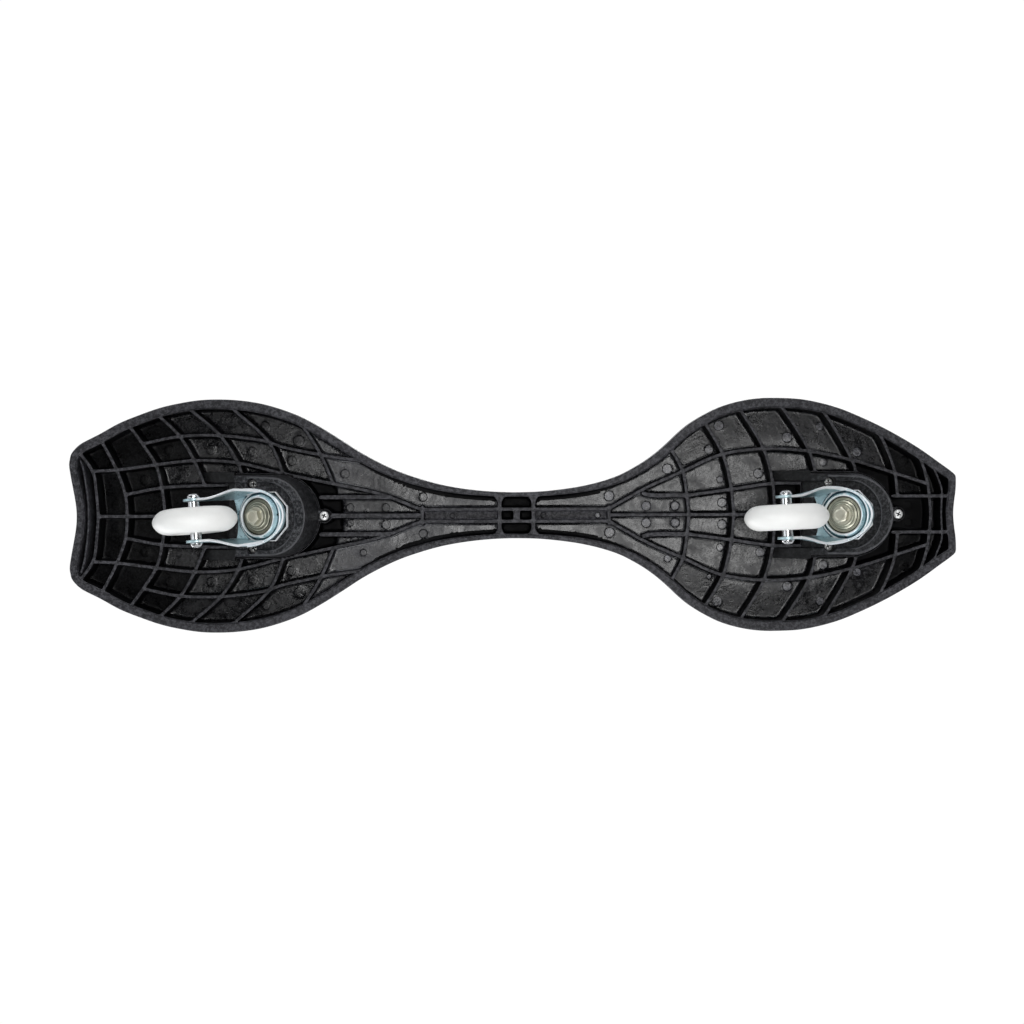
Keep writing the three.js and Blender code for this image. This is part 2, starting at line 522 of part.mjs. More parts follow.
function wheelSet() {
  const x = -TRAIL, z = -DROP;
  const tread = [[HUB_R + GAP, WHEEL_HALF], [27.8, 10.9], [31.5, 9.5], [34.6, 7.0], [36.9, 3.8]];
  const tyre = tread.map(([r, y]) => [r, -y]).concat([[WHEEL_R, 0]], tread.slice().reverse());
  const hub = [[8.6, -3.1], [BEARING_R + GAP, -3.1], [BEARING_R + GAP, -10.3], [13.4, -10.3], [14.0, -4.9], [19.0, -4.9], [19.6, -10.3], [HUB_R, -10.3],
    [HUB_R, 10.3], [19.6, 10.3], [19.0, 4.9], [14.0, 4.9], [13.4, 10.3], [BEARING_R + GAP, 10.3], [BEARING_R + GAP, 3.1], [8.6, 3.1]];
  const bearing = (s) => [[BORE_R, s * 3.4], [BEARING_R, s * 3.4], [BEARING_R, s * 10.1], [BORE_R, s * 10.1]];
  const spacer = (s) => [[BORE_R, s * 10.4], [5.2, s * 10.4], [5.2, s * 17.2], [BORE_R, s * 17.2]];
  const seat = ARM_IN + ARM_T + GAP;
  const bolt = turnedY([[0, -23.0], [AXLE_R, -22.6], [AXLE_R, seat], [5.9, seat], [5.9, seat + 1.0], [4.9, seat + 3.2], [3.1, seat + 4.2], [0, seat + 4.5]], 16, x, z);
  const socket = new THREE.CylinderGeometry(2.5, 2.5, 3, 6);
  socket.translate(x, seat + 4, z);
  const nut = turnedY([[0, -seat - 4.5], [3.1, -seat - 4.2], [4.9, -seat - 3.2], [5.9, -seat - 1.0], [5.9, -seat], [BORE_R, -seat], [BORE_R, -seat - 3.3], [0, -seat - 3.3]], 16, x, z);
  return {
    tyre: turnedY(tyre, 32, x, z),
    hub: turnedY(hub, 20, x, z),
    bearing_left: turnedY(bearing(1), 20, x, z),
    bearing_right: turnedY(bearing(-1), 20, x, z),
    bearing_sleeve: turnedY([[BORE_R, -3.1], [5.8, -3.1], [5.8, 3.1], [BORE_R, 3.1]], 14, x, z),
    spacer_left: turnedY(spacer(1), 14, x, z),
    spacer_right: turnedY(spacer(-1), 14, x, z),
    axle_bolt: bolt.subtract(solid(socket)),
    axle_nut: nut,
  };
}

// ---------------------------------------------------------------- materials
const finish = {
  moulding: [0x1c1d20, 0.55, 0.0],
  zinc: [0xb4c3ca, 0.32, 0.95],
  passivated: [0xb5aa84, 0.38, 0.9],
  steel: [0xc9ccce, 0.3, 1.0],
  race: [0x9fa4a8, 0.25, 1.0],
  urethane: [0xece8dc, 0.45, 0.0],
  core: [0xf0efe9, 0.5, 0.0],
};

const group = new THREE.Group();
group.name = 'caster_board';

function add(name, m, look) {
  const [color, roughness, metalness] = finish[look];
  const material = new THREE.MeshStandardMaterial({ color, roughness, metalness });
  const g = geometryOf(m).toNonIndexed();
  g.computeVertexNormals();
  const mesh = new THREE.Mesh(g, material);
  mesh.name = name;
  group.add(mesh);
}

add('deck_rear', rearDeck, 'moulding');
add('deck_front', frontDeck, 'moulding');

for (const [where, ring, yaw] of [['rear', REAR_RING, REAR_YAW], ['front', FRONT_RING, FRONT_YAW]]) {
  const fixed = casterMatrix(ring, 0);
  const turnedFrame = casterMatrix(ring, yaw);
  add(`${where}_wedge`, wedge(ring), 'moulding');
  for (const [dx, dy, side] of SCREWS) add(`${where}_wedge_screw_${side}`, panScrew(ring[0], dx, dy), 'steel');
  add(`${where}_base_plate`, placed(basePlate(), fixed), 'zinc');
  add(`${where}_upper_race`, placed(upperRace(), fixed), 'race');
  add(`${where}_ball_ring`, placed(ballRing(), turnedFrame), 'race');
  add(`${where}_fork`, placed(fork(), turnedFrame), 'zinc');
  add(`${where}_cup_washer`, placed(cupWasher(), fixed), 'passivated');
  add(`${where}_kingpin_washer`, placed(kingpinWasher(), fixed), 'passivated');
  add(`${where}_swivel_bush`, placed(swivelBush(), fixed), 'race');
  add(`${where}_kingpin`, placed(kingpin(), fixed), 'passivated');
  add(`${where}_kingpin_nut`, placed(kingpinNut(), fixed), 'passivated');
  const wheel = wheelSet();
  const looks = {
    tyre: 'urethane', hub: 'core', bearing_left: 'race', bearing_right: 'race', bearing_sleeve: 'steel',
    spacer_left: 'steel', spacer_right: 'steel', axle_bolt: 'steel', axle_nut: 'steel',
  };
  for (const [name, m] of Object.entries(wheel)) add(`${where}_${name}`, placed(m, turnedFrame), looks[name]);
}

export default group;
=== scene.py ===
"""Two-wheeled caster board, seen from below as in the photograph.

The deck is one continuous moulding with a narrow neck; the casters are
rebuilt with rounded edges and ride on the bodies of the frame.
Lengths in the tables are millimetres in the row frame; objects are metres.
"""

import math

import bmesh
import bpy
import numpy as np
from mathutils import Matrix, Vector
from mathutils.geometry import delaunay_2d_cdt


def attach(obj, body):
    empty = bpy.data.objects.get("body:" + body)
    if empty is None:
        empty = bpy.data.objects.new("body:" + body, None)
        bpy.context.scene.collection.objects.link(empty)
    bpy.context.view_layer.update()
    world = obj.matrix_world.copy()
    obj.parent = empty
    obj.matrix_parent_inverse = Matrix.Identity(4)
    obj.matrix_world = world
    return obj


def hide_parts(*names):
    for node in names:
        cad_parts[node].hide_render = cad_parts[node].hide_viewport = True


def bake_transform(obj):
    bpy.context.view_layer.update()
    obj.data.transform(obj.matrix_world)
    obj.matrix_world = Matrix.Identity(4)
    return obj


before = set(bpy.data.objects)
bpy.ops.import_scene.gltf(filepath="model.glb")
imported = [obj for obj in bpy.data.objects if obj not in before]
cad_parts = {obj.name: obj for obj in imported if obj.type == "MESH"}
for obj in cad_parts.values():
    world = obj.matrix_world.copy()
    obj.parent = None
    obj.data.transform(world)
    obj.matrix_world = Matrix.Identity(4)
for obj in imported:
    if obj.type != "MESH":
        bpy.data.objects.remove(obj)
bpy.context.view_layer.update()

# ------------------------------------------------------------------ dimensions
RIM_BOTTOM, RIB_BOTTOM, CELL_FLOOR, DECK_TOP, TRACTION_TOP = 98.0, 99.0, 124.0, 129.0, 130.0
NECK_FLOOR, CHANNEL_FLOOR = 112.0, 106.0
X_SHIFT, NECK_X = 0.9, 3.7
RAKE = math.radians(30)
RINGS = {"rear": (-231.8, 0.0, 56.83), "front": (299.1, 0.0, 56.82)}
YAWS = {"rear": math.radians(-5.0), "front": math.radians(-2.9)}
TRAIL, DROP = 36.7, 43.0
WEDGE_TOP = 99.4
SEAT_MID, SEAT_R, SEAT_BACK, LUG_R = 14.5, 38.0, -30.5, 4.6
SCREWS = [(-7.5, 29.6, "left"), (-7.5, -29.6, "right"), (57.5, 0.0, "front")]

OUTLINE = [
    (-404.9, 0.0), (-405.2, 7.0), (-406.2, 15.0), (-408.2, 26.0), (-410.4, 38.0), (-411.7, 48.2), (-411.0, 53.2), (-409.9, 57.6),
    (-406.6, 62.1), (-401.4, 66.9), (-383.4, 76.3), (-364.8, 86.5), (-346.1, 94.0), (-327.6, 100.4), (-309.0, 104.7), (-290.4, 107.5),
    (-271.8, 108.1), (-253.1, 107.1), (-234.5, 104.3), (-215.9, 99.2), (-197.2, 92.0), (-178.6, 82.0), (-160.0, 70.4), (-141.5, 58.5),
    (-123.1, 48.5), (-104.7, 40.2), (-86.3, 33.9), (-67.9, 28.8), (-49.3, 25.3), (-30.9, 23.0), (-12.5, 21.7), (5.0, 21.4),
    (24.4, 22.0), (43.0, 23.8), (61.4, 26.5), (79.9, 30.7), (98.4, 36.9), (111.7, 43.7), (123.7, 51.0), (135.3, 59.7),
    (144.6, 68.0), (153.9, 76.8), (163.1, 84.3), (175.5, 92.0), (191.0, 99.6), (209.6, 105.1), (228.2, 107.8), (246.8, 108.0),
    (265.5, 106.9), (284.1, 103.4), (302.7, 98.0), (321.3, 90.3), (340.0, 81.5), (358.6, 71.4), (377.2, 60.0), (395.7, 46.7),
    (405.4, 39.6), (409.5, 35.6), (409.9, 30.6), (409.6, 22.0), (408.2, 11.0), (407.4, 0.0),
]
REAR_CROSS = [
    [(-402.5, 60.0), (-389.4, 40.3), (-386.4, 20.0), (-384.7, 0)],
    [(-384.0, 76.0), (-381.0, 69.1), (-368.1, 44.1), (-359.7, 20.0), (-357.9, 0)],
    [(-358.0, 87.0), (-343.1, 66.3), (-331.0, 46.9), (-325.5, 24.6), (-322.7, 0)],
    [(-332.0, 97.0), (-326.4, 91.3), (-308.8, 73.7), (-294.9, 49.6), (-285.6, 27.4)],
    [(-303.0, 103.0), (-296.8, 96.9), (-270.8, 73.7), (-254.2, 46.9), (-250.5, 33.0)],
    [(-264.0, 104.0), (-257.9, 97.8), (-225.5, 67.2), (-213.4, 39.4), (-209.0, 30.0)],
    [(-199.0, 88.0), (-193.1, 80.2), (-179.2, 58.0), (-167.1, 30.2)],
]
REAR_LONG = [
    [(-343.1, 67.2), (-310.6, 73.7), (-272.7, 74.6), (-229.2, 69.1), (-216.2, 64.4), (-181.0, 57.0), (-171.8, 55.2), (-141.0, 51.0)],
    [(-389.4, 42.0), (-368.1, 43.1), (-331.0, 47.8), (-294.9, 51.5), (-257.9, 49.6), (-214.4, 39.4), (-169.9, 30.2), (-123.6, 20.0), (-85.6, 5.6)],
    [(-360.6, 20.0), (-325.5, 26.5), (-287.5, 28.3), (-262.0, 29.0)],
]
REAR_WIDE = [[(-180.0, 17.2), (-114.0, 17.2)]]
REAR_CENTRE = [[(-386, 0), (-262, 0)], [(-84.6, -9), (-84.6, 9)]]
REAR_CENTRE_WIDE = [[(-175, 0), (-84, 0)]]
END_RIDGES = [
    [(-401.5, 53.0), (-398.2, 42.0), (-396.0, 28.0), (-394.3, 14.0), (-393.8, 0)],
    [(388.5, 45.0), (393.5, 33.0), (397.0, 22.0), (396.6, 10.0), (396.3, 0)],
]
NECK_RIBS = [
    [(-86, 5.6), (3.4, 5.6)], [(-86, -5.6), (3.4, -5.6)],
    [(3.2, 5.6), (90, 5.6)], [(3.2, -5.6), (90, -5.6)],
]
NECK_WALLS = [[(-12.9, -19), (-12.9, 19)], [(18.3, -19), (18.3, 19)]]
NECK_POST = [[(2.8, -6), (2.8, 6)]]
# half of the region where the floor lies at the neck's level
NECK_ZONE = [
    (-199.0, 88.0), (-193.1, 80.2), (-179.2, 58.0), (-167.1, 30.2), (-164.4, 17.2), (-160.0, 17.2), (-159.0, 0),
    (162.5, 0), (160.6, 18.0), (156.9, 40.2), (147.7, 57.9), (141.0, 69.0), (120.0, 69.0), (60.0, 40.0), (-100.0, 50.0), (-160.0, 88.0),
]
FRONT_CROSS = [
    [(141.0, 69.0), (147.7, 57.9), (156.9, 40.2), (160.6, 18.0), (162.5, 0)],
    [(172.0, 93.0), (178.2, 83.7), (194.0, 55.9), (201.4, 26.3), (204.2, 0)],
    [(206.0, 104.0), (211.6, 95.0), (231.9, 60.6), (240.3, 28.1), (242.1, 0)],
    [(244.0, 106.0), (249.5, 98.5), (274.5, 57.8), (281.0, 32.0)],
    [(282.0, 101.0), (289.4, 92.0), (314.4, 48.5), (319.0, 32.0)],
    [(331.0, 84.0), (338.4, 75.4), (352.3, 43.0), (356.0, 16.7)],
    [(371.0, 60.0), (377.3, 50.4), (383.8, 28.1), (386.6, 0)],
]
FRONT_LONG = [
    [(88.0, 5.6), (122.7, 25.0), (156.9, 40.2), (190.3, 55.0), (227.3, 60.6), (271.8, 58.7), (312.5, 50.4), (352.3, 38.3), (383.8, 28.1)],
    [(162.0, 18.0), (202.3, 23.5), (239.4, 28.6), (268.0, 29.0)],
    [(350.0, 16.7), (406.0, 16.7)],
]
FRONT_WIDE = [[(119.0, 20.5), (125.0, 18.5), (163.0, 18.0)]]
FRONT_CENTRE = [[(88, 0), (270, 0)], [(88.5, -9), (88.5, 9)]]

# round ejector marks on the cell floors: x, y, radius, proud (+) or sunk (-)
MARKS = [
    (90.0, -17.6, 4.9, 0.45), (90.4, 16.5, 4.9, 0.45), (28.6, 0.2, 2.8, 0.5), (79.0, 0.2, 2.8, 0.7), (-55.9, 0.5, 2.6, 0.4),
    (124.6, -8.2, 4.6, 0.4), (124.6, 7.6, 4.6, 0.4), (151.5, -8.2, 4.4, -0.8), (151.5, 7.6, 4.4, -0.8),
    (144.4, -42.6, 4.8, 0.4), (144.4, 41.2, 4.8, 0.4), (196.6, -11.0, 4.6, 0.4), (196.6, 9.6, 4.6, 0.4),
    (193.8, -83.3, 4.9, 0.4), (191.9, 81.9, 4.9, 0.4), (184.4, -60.8, 4.8, 0.4), (184.4, 58.4, 4.8, 0.4),
    (194.7, -32.6, 4.8, 0.4), (194.7, 31.2, 4.8, 0.4), (257.6, -72.0, 4.9, 0.4), (257.6, 67.8, 4.9, 0.4),
    (230.4, -38.3, 4.6, 0.4), (232.3, 35.9, 4.6, 0.4), (323.3, -58.0, 4.6, 0.4), (323.3, 55.0, 4.6, 0.4),
    (288.6, 81.9, 4.6, 0.4), (288.6, -82.0, 4.6, 0.4), (291.4, -48.6, 4.4, 0.4), (291.4, 48.0, 4.4, 0.4),
    (-118.2, -7.3, 4.5, 0.4), (-118.2, 8.6, 4.5, 0.4), (-151.5, -7.3, 4.5, 0.4), (-151.5, 6.8, 4.5, 0.4),
    (-83.5, 17.0, 4.2, -0.5), (-83.5, -17.0, 4.2, 0.4), (-156.2, -39.0, 4.4, 0.4), (-139.4, 34.7, 3.4, 0.5),
    (-200.4, -70.2, 5.4, 0.4), (-200.4, 72.5, 5.4, 0.4), (-207.0, -51.4, 4.6, 0.4), (-207.9, 51.8, 4.6, 0.4),
    (-244.0, 60.0, 4.6, 0.4), (-244.0, -60.0, 4.6, 0.4), (-232.0, 85.0, 4.8, 0.4), (-232.0, -85.0, 4.8, 0.4),
    (-276.0, 86.0, 4.6, 0.4), (-276.0, -86.0, 4.6, 0.4), (-283.0, 62.0, 4.6, 0.4), (-283.0, -62.0, 4.6, 0.4),
    (-322.0, 62.0, 4.6, 0.4), (-322.0, -62.0, 4.6, 0.4), (-345.0, 34.0, 4.4, 0.4), (-345.0, -34.0, 4.4, 0.4),
    (-376.0, 56.0, 4.4, 0.4), (-376.0, -56.0, 4.4, 0.4), (-372.0, 10.0, 4.2, 0.4), (-372.0, -10.0, 4.2, 0.4),
    (368.0, 50.0, 4.2, 0.4), (368.0, -50.0, 4.2, 0.4), (371.0, 8.0, 4.0, 0.4), (371.0, -8.0, 4.0, 0.4),
]


# ------------------------------------------------------------------ materials
def tree(name):
    m = bpy.data.materials.new(name)
    m.use_nodes = True
    nt = m.node_tree
    nt.nodes.clear()
    out = nt.nodes.new("ShaderNodeOutputMaterial")
    p = nt.nodes.new("ShaderNodeBsdfPrincipled")
    nt.links.new(p.outputs[0], out.inputs[0])
    return m, nt, p


def node(nt, kind, links=None, **settings):
    n = nt.nodes.new(kind)
    for k, v in settings.items():
        if k in n.inputs:
            n.inputs[k].default_value = v
        else:
            setattr(n, k, v)
    for k, v in (links or {}).items():
        nt.links.new(v, n.inputs[k])
    return n


def coords(nt, scale=(1, 1, 1)):
    """Object coordinates in millimetres."""
    t = nt.nodes.new("ShaderNodeTexCoord")
    m = node(nt, "ShaderNodeMapping", {"Vector": t.outputs["Object"]})
    m.inputs["Scale"].default_value = [1000 * s for s in scale]
    return m.outputs[0]


def noise(nt, vec, scale, detail=3.0, rough=0.55, distortion=0.0):
    n = node(nt, "ShaderNodeTexNoise", {"Vector": vec})
    n.inputs["Scale"].default_value = scale
    n.inputs["Detail"].default_value = detail
    n.inputs["Roughness"].default_value = rough
    n.inputs["Distortion"].default_value = distortion
    return n.outputs[0]


def span(nt, value, lo, hi, a=0.3, b=0.7):
    n = node(nt, "ShaderNodeMapRange", {"Value": value})
    for k, v in (("From Min", a), ("From Max", b), ("To Min", lo), ("To Max", hi)):
        n.inputs[k].default_value = v
    n.clamp = True
    return n.outputs[0]


def math_node(nt, op, a, b=None):
    n = nt.nodes.new("ShaderNodeMath")
    n.operation = op
    for i, v in enumerate((a, b)):
        if v is None:
            continue
        if isinstance(v, (int, float)):
            n.inputs[i].default_value = v
        else:
            nt.links.new(v, n.inputs[i])
    return n.outputs[0]


def mix_colour(nt, fac, a, b):
    n = nt.nodes.new("ShaderNodeMix")
    n.data_type = "RGBA"
    nt.links.new(fac, n.inputs[0])
    for socket, v in ((n.inputs[6], a), (n.inputs[7], b)):
        if isinstance(v, (tuple, list)):
            socket.default_value = (*v, 1)
        else:
            nt.links.new(v, socket)
    return n.outputs[2]


def bump(nt, height, distance, strength=1.0, before=None):
    n = nt.nodes.new("ShaderNodeBump")
    n.inputs["Strength"].default_value = strength
    n.inputs["Distance"].default_value = distance
    nt.links.new(height, n.inputs["Height"])
    if before is not None:
        nt.links.new(before, n.inputs["Normal"])
    return n.outputs[0]


def edge_wear(nt, lo=0.52, hi=0.62):
    g = nt.nodes.new("ShaderNodeNewGeometry")
    return span(nt, g.outputs["Pointiness"], 0.0, 1.0, lo, hi)


# painted_light_gain paints light or shade into the colour: above 1 a lighter, lit copy, below 1 a darker, shaded copy
def moulding(name="moulding", painted_light_gain=1.0):
    """Textured outer faces, rim lip and rib tops: matte black with a spark grain."""
    m, nt, p = tree(name)
    v = coords(nt)
    cloud = noise(nt, v, 0.045, 4, 0.6)
    grain = noise(nt, v, 2.6, 2, 0.6)
    fleck = noise(nt, v, 0.34, 3, 0.8)
    colour = mix_colour(nt, span(nt, cloud, 0, 1), (0.0053 * painted_light_gain, 0.0051 * painted_light_gain, 0.0068 * painted_light_gain), (0.0098 * painted_light_gain, 0.0095 * painted_light_gain, 0.0120 * painted_light_gain))
    colour = mix_colour(nt, span(nt, fleck, 0, 1.0, 0.43, 0.60), colour, (0.0570 * painted_light_gain, 0.0560 * painted_light_gain, 0.0630 * painted_light_gain))
    colour = mix_colour(nt, edge_wear(nt, 0.54, 0.68), colour, (0.030, 0.030, 0.034))
    nt.links.new(colour, p.inputs["Base Color"])
    rough = math_node(nt, "ADD", span(nt, cloud, 0.48, 0.56), span(nt, grain, -0.05, 0.05))
    nt.links.new(rough, p.inputs["Roughness"])
    p.inputs["Specular IOR Level"].default_value = 0.32
    normal = bump(nt, grain, 0.00006, 0.55)
    normal = bump(nt, noise(nt, v, 0.35, 3, 0.5), 0.00010, 0.35, normal)
    nt.links.new(normal, p.inputs["Normal"])
    return m


# painted_light_gain paints light or shade into the colour: above 1 a lighter, lit copy, below 1 a darker, shaded copy
def moulding_floor(name="moulding_floor", painted_light_gain=1.0, gloss=0.5, rougher=0.0, painted_shade_patch=False):
    """Cell floors: glossier, with flow marks that mottle the reflection."""
    m, nt, p = tree(name)
    v = coords(nt)
    flow = noise(nt, v, 0.07, 4, 0.55, 1.4)
    fine = noise(nt, v, 0.5, 4, 0.7, 0.6)
    smear = noise(nt, v, 0.11, 5, 0.7, 0.8)
    grain = noise(nt, v, 2.2, 2, 0.6)
    patch = noise(nt, v, 0.035, 2, 0.5)
    colour = mix_colour(nt, span(nt, smear, 0, 1, 0.38, 0.64), (0.0006 * painted_light_gain, 0.0006 * painted_light_gain, 0.0012 * painted_light_gain), (0.0170 * painted_light_gain, 0.0172 * painted_light_gain, 0.0200 * painted_light_gain))
    colour = mix_colour(nt, span(nt, fine, 0, 0.75, 0.47, 0.62), colour, (0.0480 * painted_light_gain, 0.0482 * painted_light_gain, 0.0530 * painted_light_gain))
    if painted_shade_patch:        # painted shade on one side of the neck
        xyz = node(nt, "ShaderNodeSeparateXYZ", {"Vector": v})
        where = math_node(nt, "MULTIPLY", span(nt, xyz.outputs[1], 1, 0, -3, 1), span(nt, xyz.outputs[0], 0, 1, -160, -138))
        where = math_node(nt, "MULTIPLY", where, span(nt, xyz.outputs[0], 1, 0.25, -78, -66))
        where = math_node(nt, "MULTIPLY", where, span(nt, fine, 1.0, 0.45, 0.42, 0.64))
        colour = mix_colour(nt, where, colour, (0.006, 0.006, 0.008))
    nt.links.new(colour, p.inputs["Base Color"])
    rough = math_node(nt, "ADD", span(nt, smear, 0.15 + rougher, 0.31 + rougher, 0.35, 0.65), span(nt, fine, -0.05, 0.06))
    rough = math_node(nt, "ADD", rough, span(nt, patch, -0.03, 0.10, 0.38, 0.62))
    nt.links.new(rough, p.inputs["Roughness"])
    p.inputs["Specular IOR Level"].default_value = gloss
    normal = bump(nt, flow, 0.0007, 0.5)
    normal = bump(nt, fine, 0.00014, 0.5, normal)
    normal = bump(nt, grain, 0.00003, 0.5, normal)
    nt.links.new(normal, p.inputs["Normal"])
    return m


def moulding_painted_shade():
    """Painted shade for the bottoms of the deepest pockets, the walls and other places in shade: matte and nearly
    black.
    """
    m, nt, p = tree("moulding_painted_shade")
    v = coords(nt)
    cloud = noise(nt, v, 0.12, 4, 0.6)
    grain = noise(nt, v, 1.4, 3, 0.6)
    colour = mix_colour(nt, span(nt, cloud, 0, 1), (0.0016, 0.0016, 0.0022), (0.0034, 0.0034, 0.0042))
    nt.links.new(colour, p.inputs["Base Color"])
    nt.links.new(span(nt, cloud, 0.50, 0.66), p.inputs["Roughness"])
    p.inputs["Specular IOR Level"].default_value = 0.12
    nt.links.new(bump(nt, grain, 0.0001, 0.5), p.inputs["Normal"])
    return m


def wedge_edges_painted_highlight():
    """Painted highlight on the rounded edges and ridge of the wedge: lighter and smoother than its faces."""
    m, nt, p = tree("wedge_edges_painted_highlight")
    v = coords(nt)
    cloud = noise(nt, v, 0.2, 4, 0.6)
    grain = noise(nt, v, 1.2, 3, 0.6)
    colour = mix_colour(nt, span(nt, cloud, 0, 1), (0.036, 0.036, 0.040), (0.075, 0.075, 0.080))
    nt.links.new(colour, p.inputs["Base Color"])
    nt.links.new(span(nt, cloud, 0.36, 0.46), p.inputs["Roughness"])
    p.inputs["Specular IOR Level"].default_value = 0.5
    nt.links.new(bump(nt, grain, 0.0001, 0.5), p.inputs["Normal"])
    return m


# painted_light_gain paints light or shade into the colour: above 1 a lighter, lit copy, below 1 a darker, shaded copy
def wedge_plastic(name="wedge_plastic", painted_light_gain=1.0):
    """Coarser spark texture of the separate wedge block."""
    m, nt, p = tree(name)
    v = coords(nt)
    cloud = noise(nt, v, 0.06, 4, 0.6)
    grain = noise(nt, v, 0.75, 4, 0.7)
    fleck = noise(nt, v, 0.33, 3, 0.8)
    colour = mix_colour(nt, span(nt, cloud, 0, 1), (0.0018 * painted_light_gain, 0.0018 * painted_light_gain, 0.0026 * painted_light_gain), (0.0042 * painted_light_gain, 0.0043 * painted_light_gain, 0.0054 * painted_light_gain))
    colour = mix_colour(nt, span(nt, fleck, 0, 1.0, 0.45, 0.62), colour, (0.0560 * painted_light_gain, 0.0562 * painted_light_gain, 0.0600 * painted_light_gain))
    colour = mix_colour(nt, edge_wear(nt, 0.53, 0.66), colour, (0.032, 0.032, 0.035))
    nt.links.new(colour, p.inputs["Base Color"])
    rough = math_node(nt, "ADD", span(nt, cloud, 0.50, 0.60), span(nt, grain, -0.06, 0.06))
    nt.links.new(rough, p.inputs["Roughness"])
    p.inputs["Specular IOR Level"].default_value = 0.3
    normal = bump(nt, grain, 0.00030, 0.6)
    nt.links.new(normal, p.inputs["Normal"])
    return m


def metal(name, dark, light, rough, streak=0.25, tint=None, scratch=0.00002, metallic=1.0, hollow=None):
    m, nt, p = tree(name)
    v = coords(nt)
    cloud = noise(nt, v, 0.12, 4, 0.6, 0.5)
    spangle = noise(nt, v, 0.9, 3, 0.6)
    colour = mix_colour(nt, span(nt, cloud, 0, 1), dark, light)
    if tint is not None:
        colour = mix_colour(nt, span(nt, noise(nt, v, 0.05, 2, 0.5), 0, 0.55), colour, tint)
    colour = mix_colour(nt, edge_wear(nt, 0.52, 0.60), colour, tuple(min(0.94, c * 1.35) for c in light))
    if hollow is not None:       # grime and shade that gathers in grooves
        g = nt.nodes.new("ShaderNodeNewGeometry")
        colour = mix_colour(nt, span(nt, g.outputs["Pointiness"], 0.9, 0.0, 0.44, 0.492), colour, hollow)
    nt.links.new(colour, p.inputs["Base Color"])
    p.inputs["Metallic"].default_value = metallic
    r = math_node(nt, "ADD", span(nt, cloud, rough - 0.04, rough + 0.06), span(nt, spangle, -0.03, 0.04))
    nt.links.new(r, p.inputs["Roughness"])
    scratches = noise(nt, coords(nt, (0.35, 3.0, 3.0)), 0.9, 3, 0.6)
    normal = bump(nt, scratches, scratch, streak)
    normal = bump(nt, spangle, 0.00004, 0.25, normal)
    nt.links.new(normal, p.inputs["Normal"])
    return m


def urethane():
    m, nt, p = tree("urethane")
    v = coords(nt)
    cloud = noise(nt, v, 0.05, 4, 0.6)
    speck = noise(nt, v, 0.8, 4, 0.7)
    grain = noise(nt, v, 3.0, 2, 0.5)
    colour = mix_colour(nt, span(nt, cloud, 0, 1), (0.880, 0.872, 0.840), (0.940, 0.934, 0.905))
    colour = mix_colour(nt, span(nt, speck, 0, 0.5, 0.62, 0.80), colour, (0.52, 0.51, 0.475))
    nt.links.new(colour, p.inputs["Base Color"])
    rough = math_node(nt, "ADD", span(nt, cloud, 0.34, 0.46), span(nt, grain, -0.03, 0.03))
    nt.links.new(rough, p.inputs["Roughness"])
    normal = bump(nt, grain, 0.00005, 0.4)
    normal = bump(nt, speck, 0.00008, 0.3, normal)
    nt.links.new(normal, p.inputs["Normal"])
    return m


def core_nylon():
    m, nt, p = tree("core_nylon")
    v = coords(nt)
    cloud = noise(nt, v, 0.09, 4, 0.6)
    grain = noise(nt, v, 2.5, 2, 0.5)
    colour = mix_colour(nt, span(nt, cloud, 0, 1), (0.76, 0.76, 0.74), (0.84, 0.84, 0.82))
    nt.links.new(colour, p.inputs["Base Color"])
    nt.links.new(span(nt, cloud, 0.38, 0.5), p.inputs["Roughness"])
    nt.links.new(bump(nt, grain, 0.00004, 0.4), p.inputs["Normal"])
    return m


def rubber_seal():
    m, nt, p = tree("bearing_shield")
    v = coords(nt)
    cloud = noise(nt, v, 0.3, 4, 0.6)
    colour = mix_colour(nt, span(nt, cloud, 0, 1), (0.016, 0.016, 0.018), (0.032, 0.032, 0.034))
    nt.links.new(colour, p.inputs["Base Color"])
    nt.links.new(span(nt, cloud, 0.45, 0.6), p.inputs["Roughness"])
    nt.links.new(bump(nt, noise(nt, v, 2.4, 2, 0.5), 0.00005, 0.4), p.inputs["Normal"])
    return m


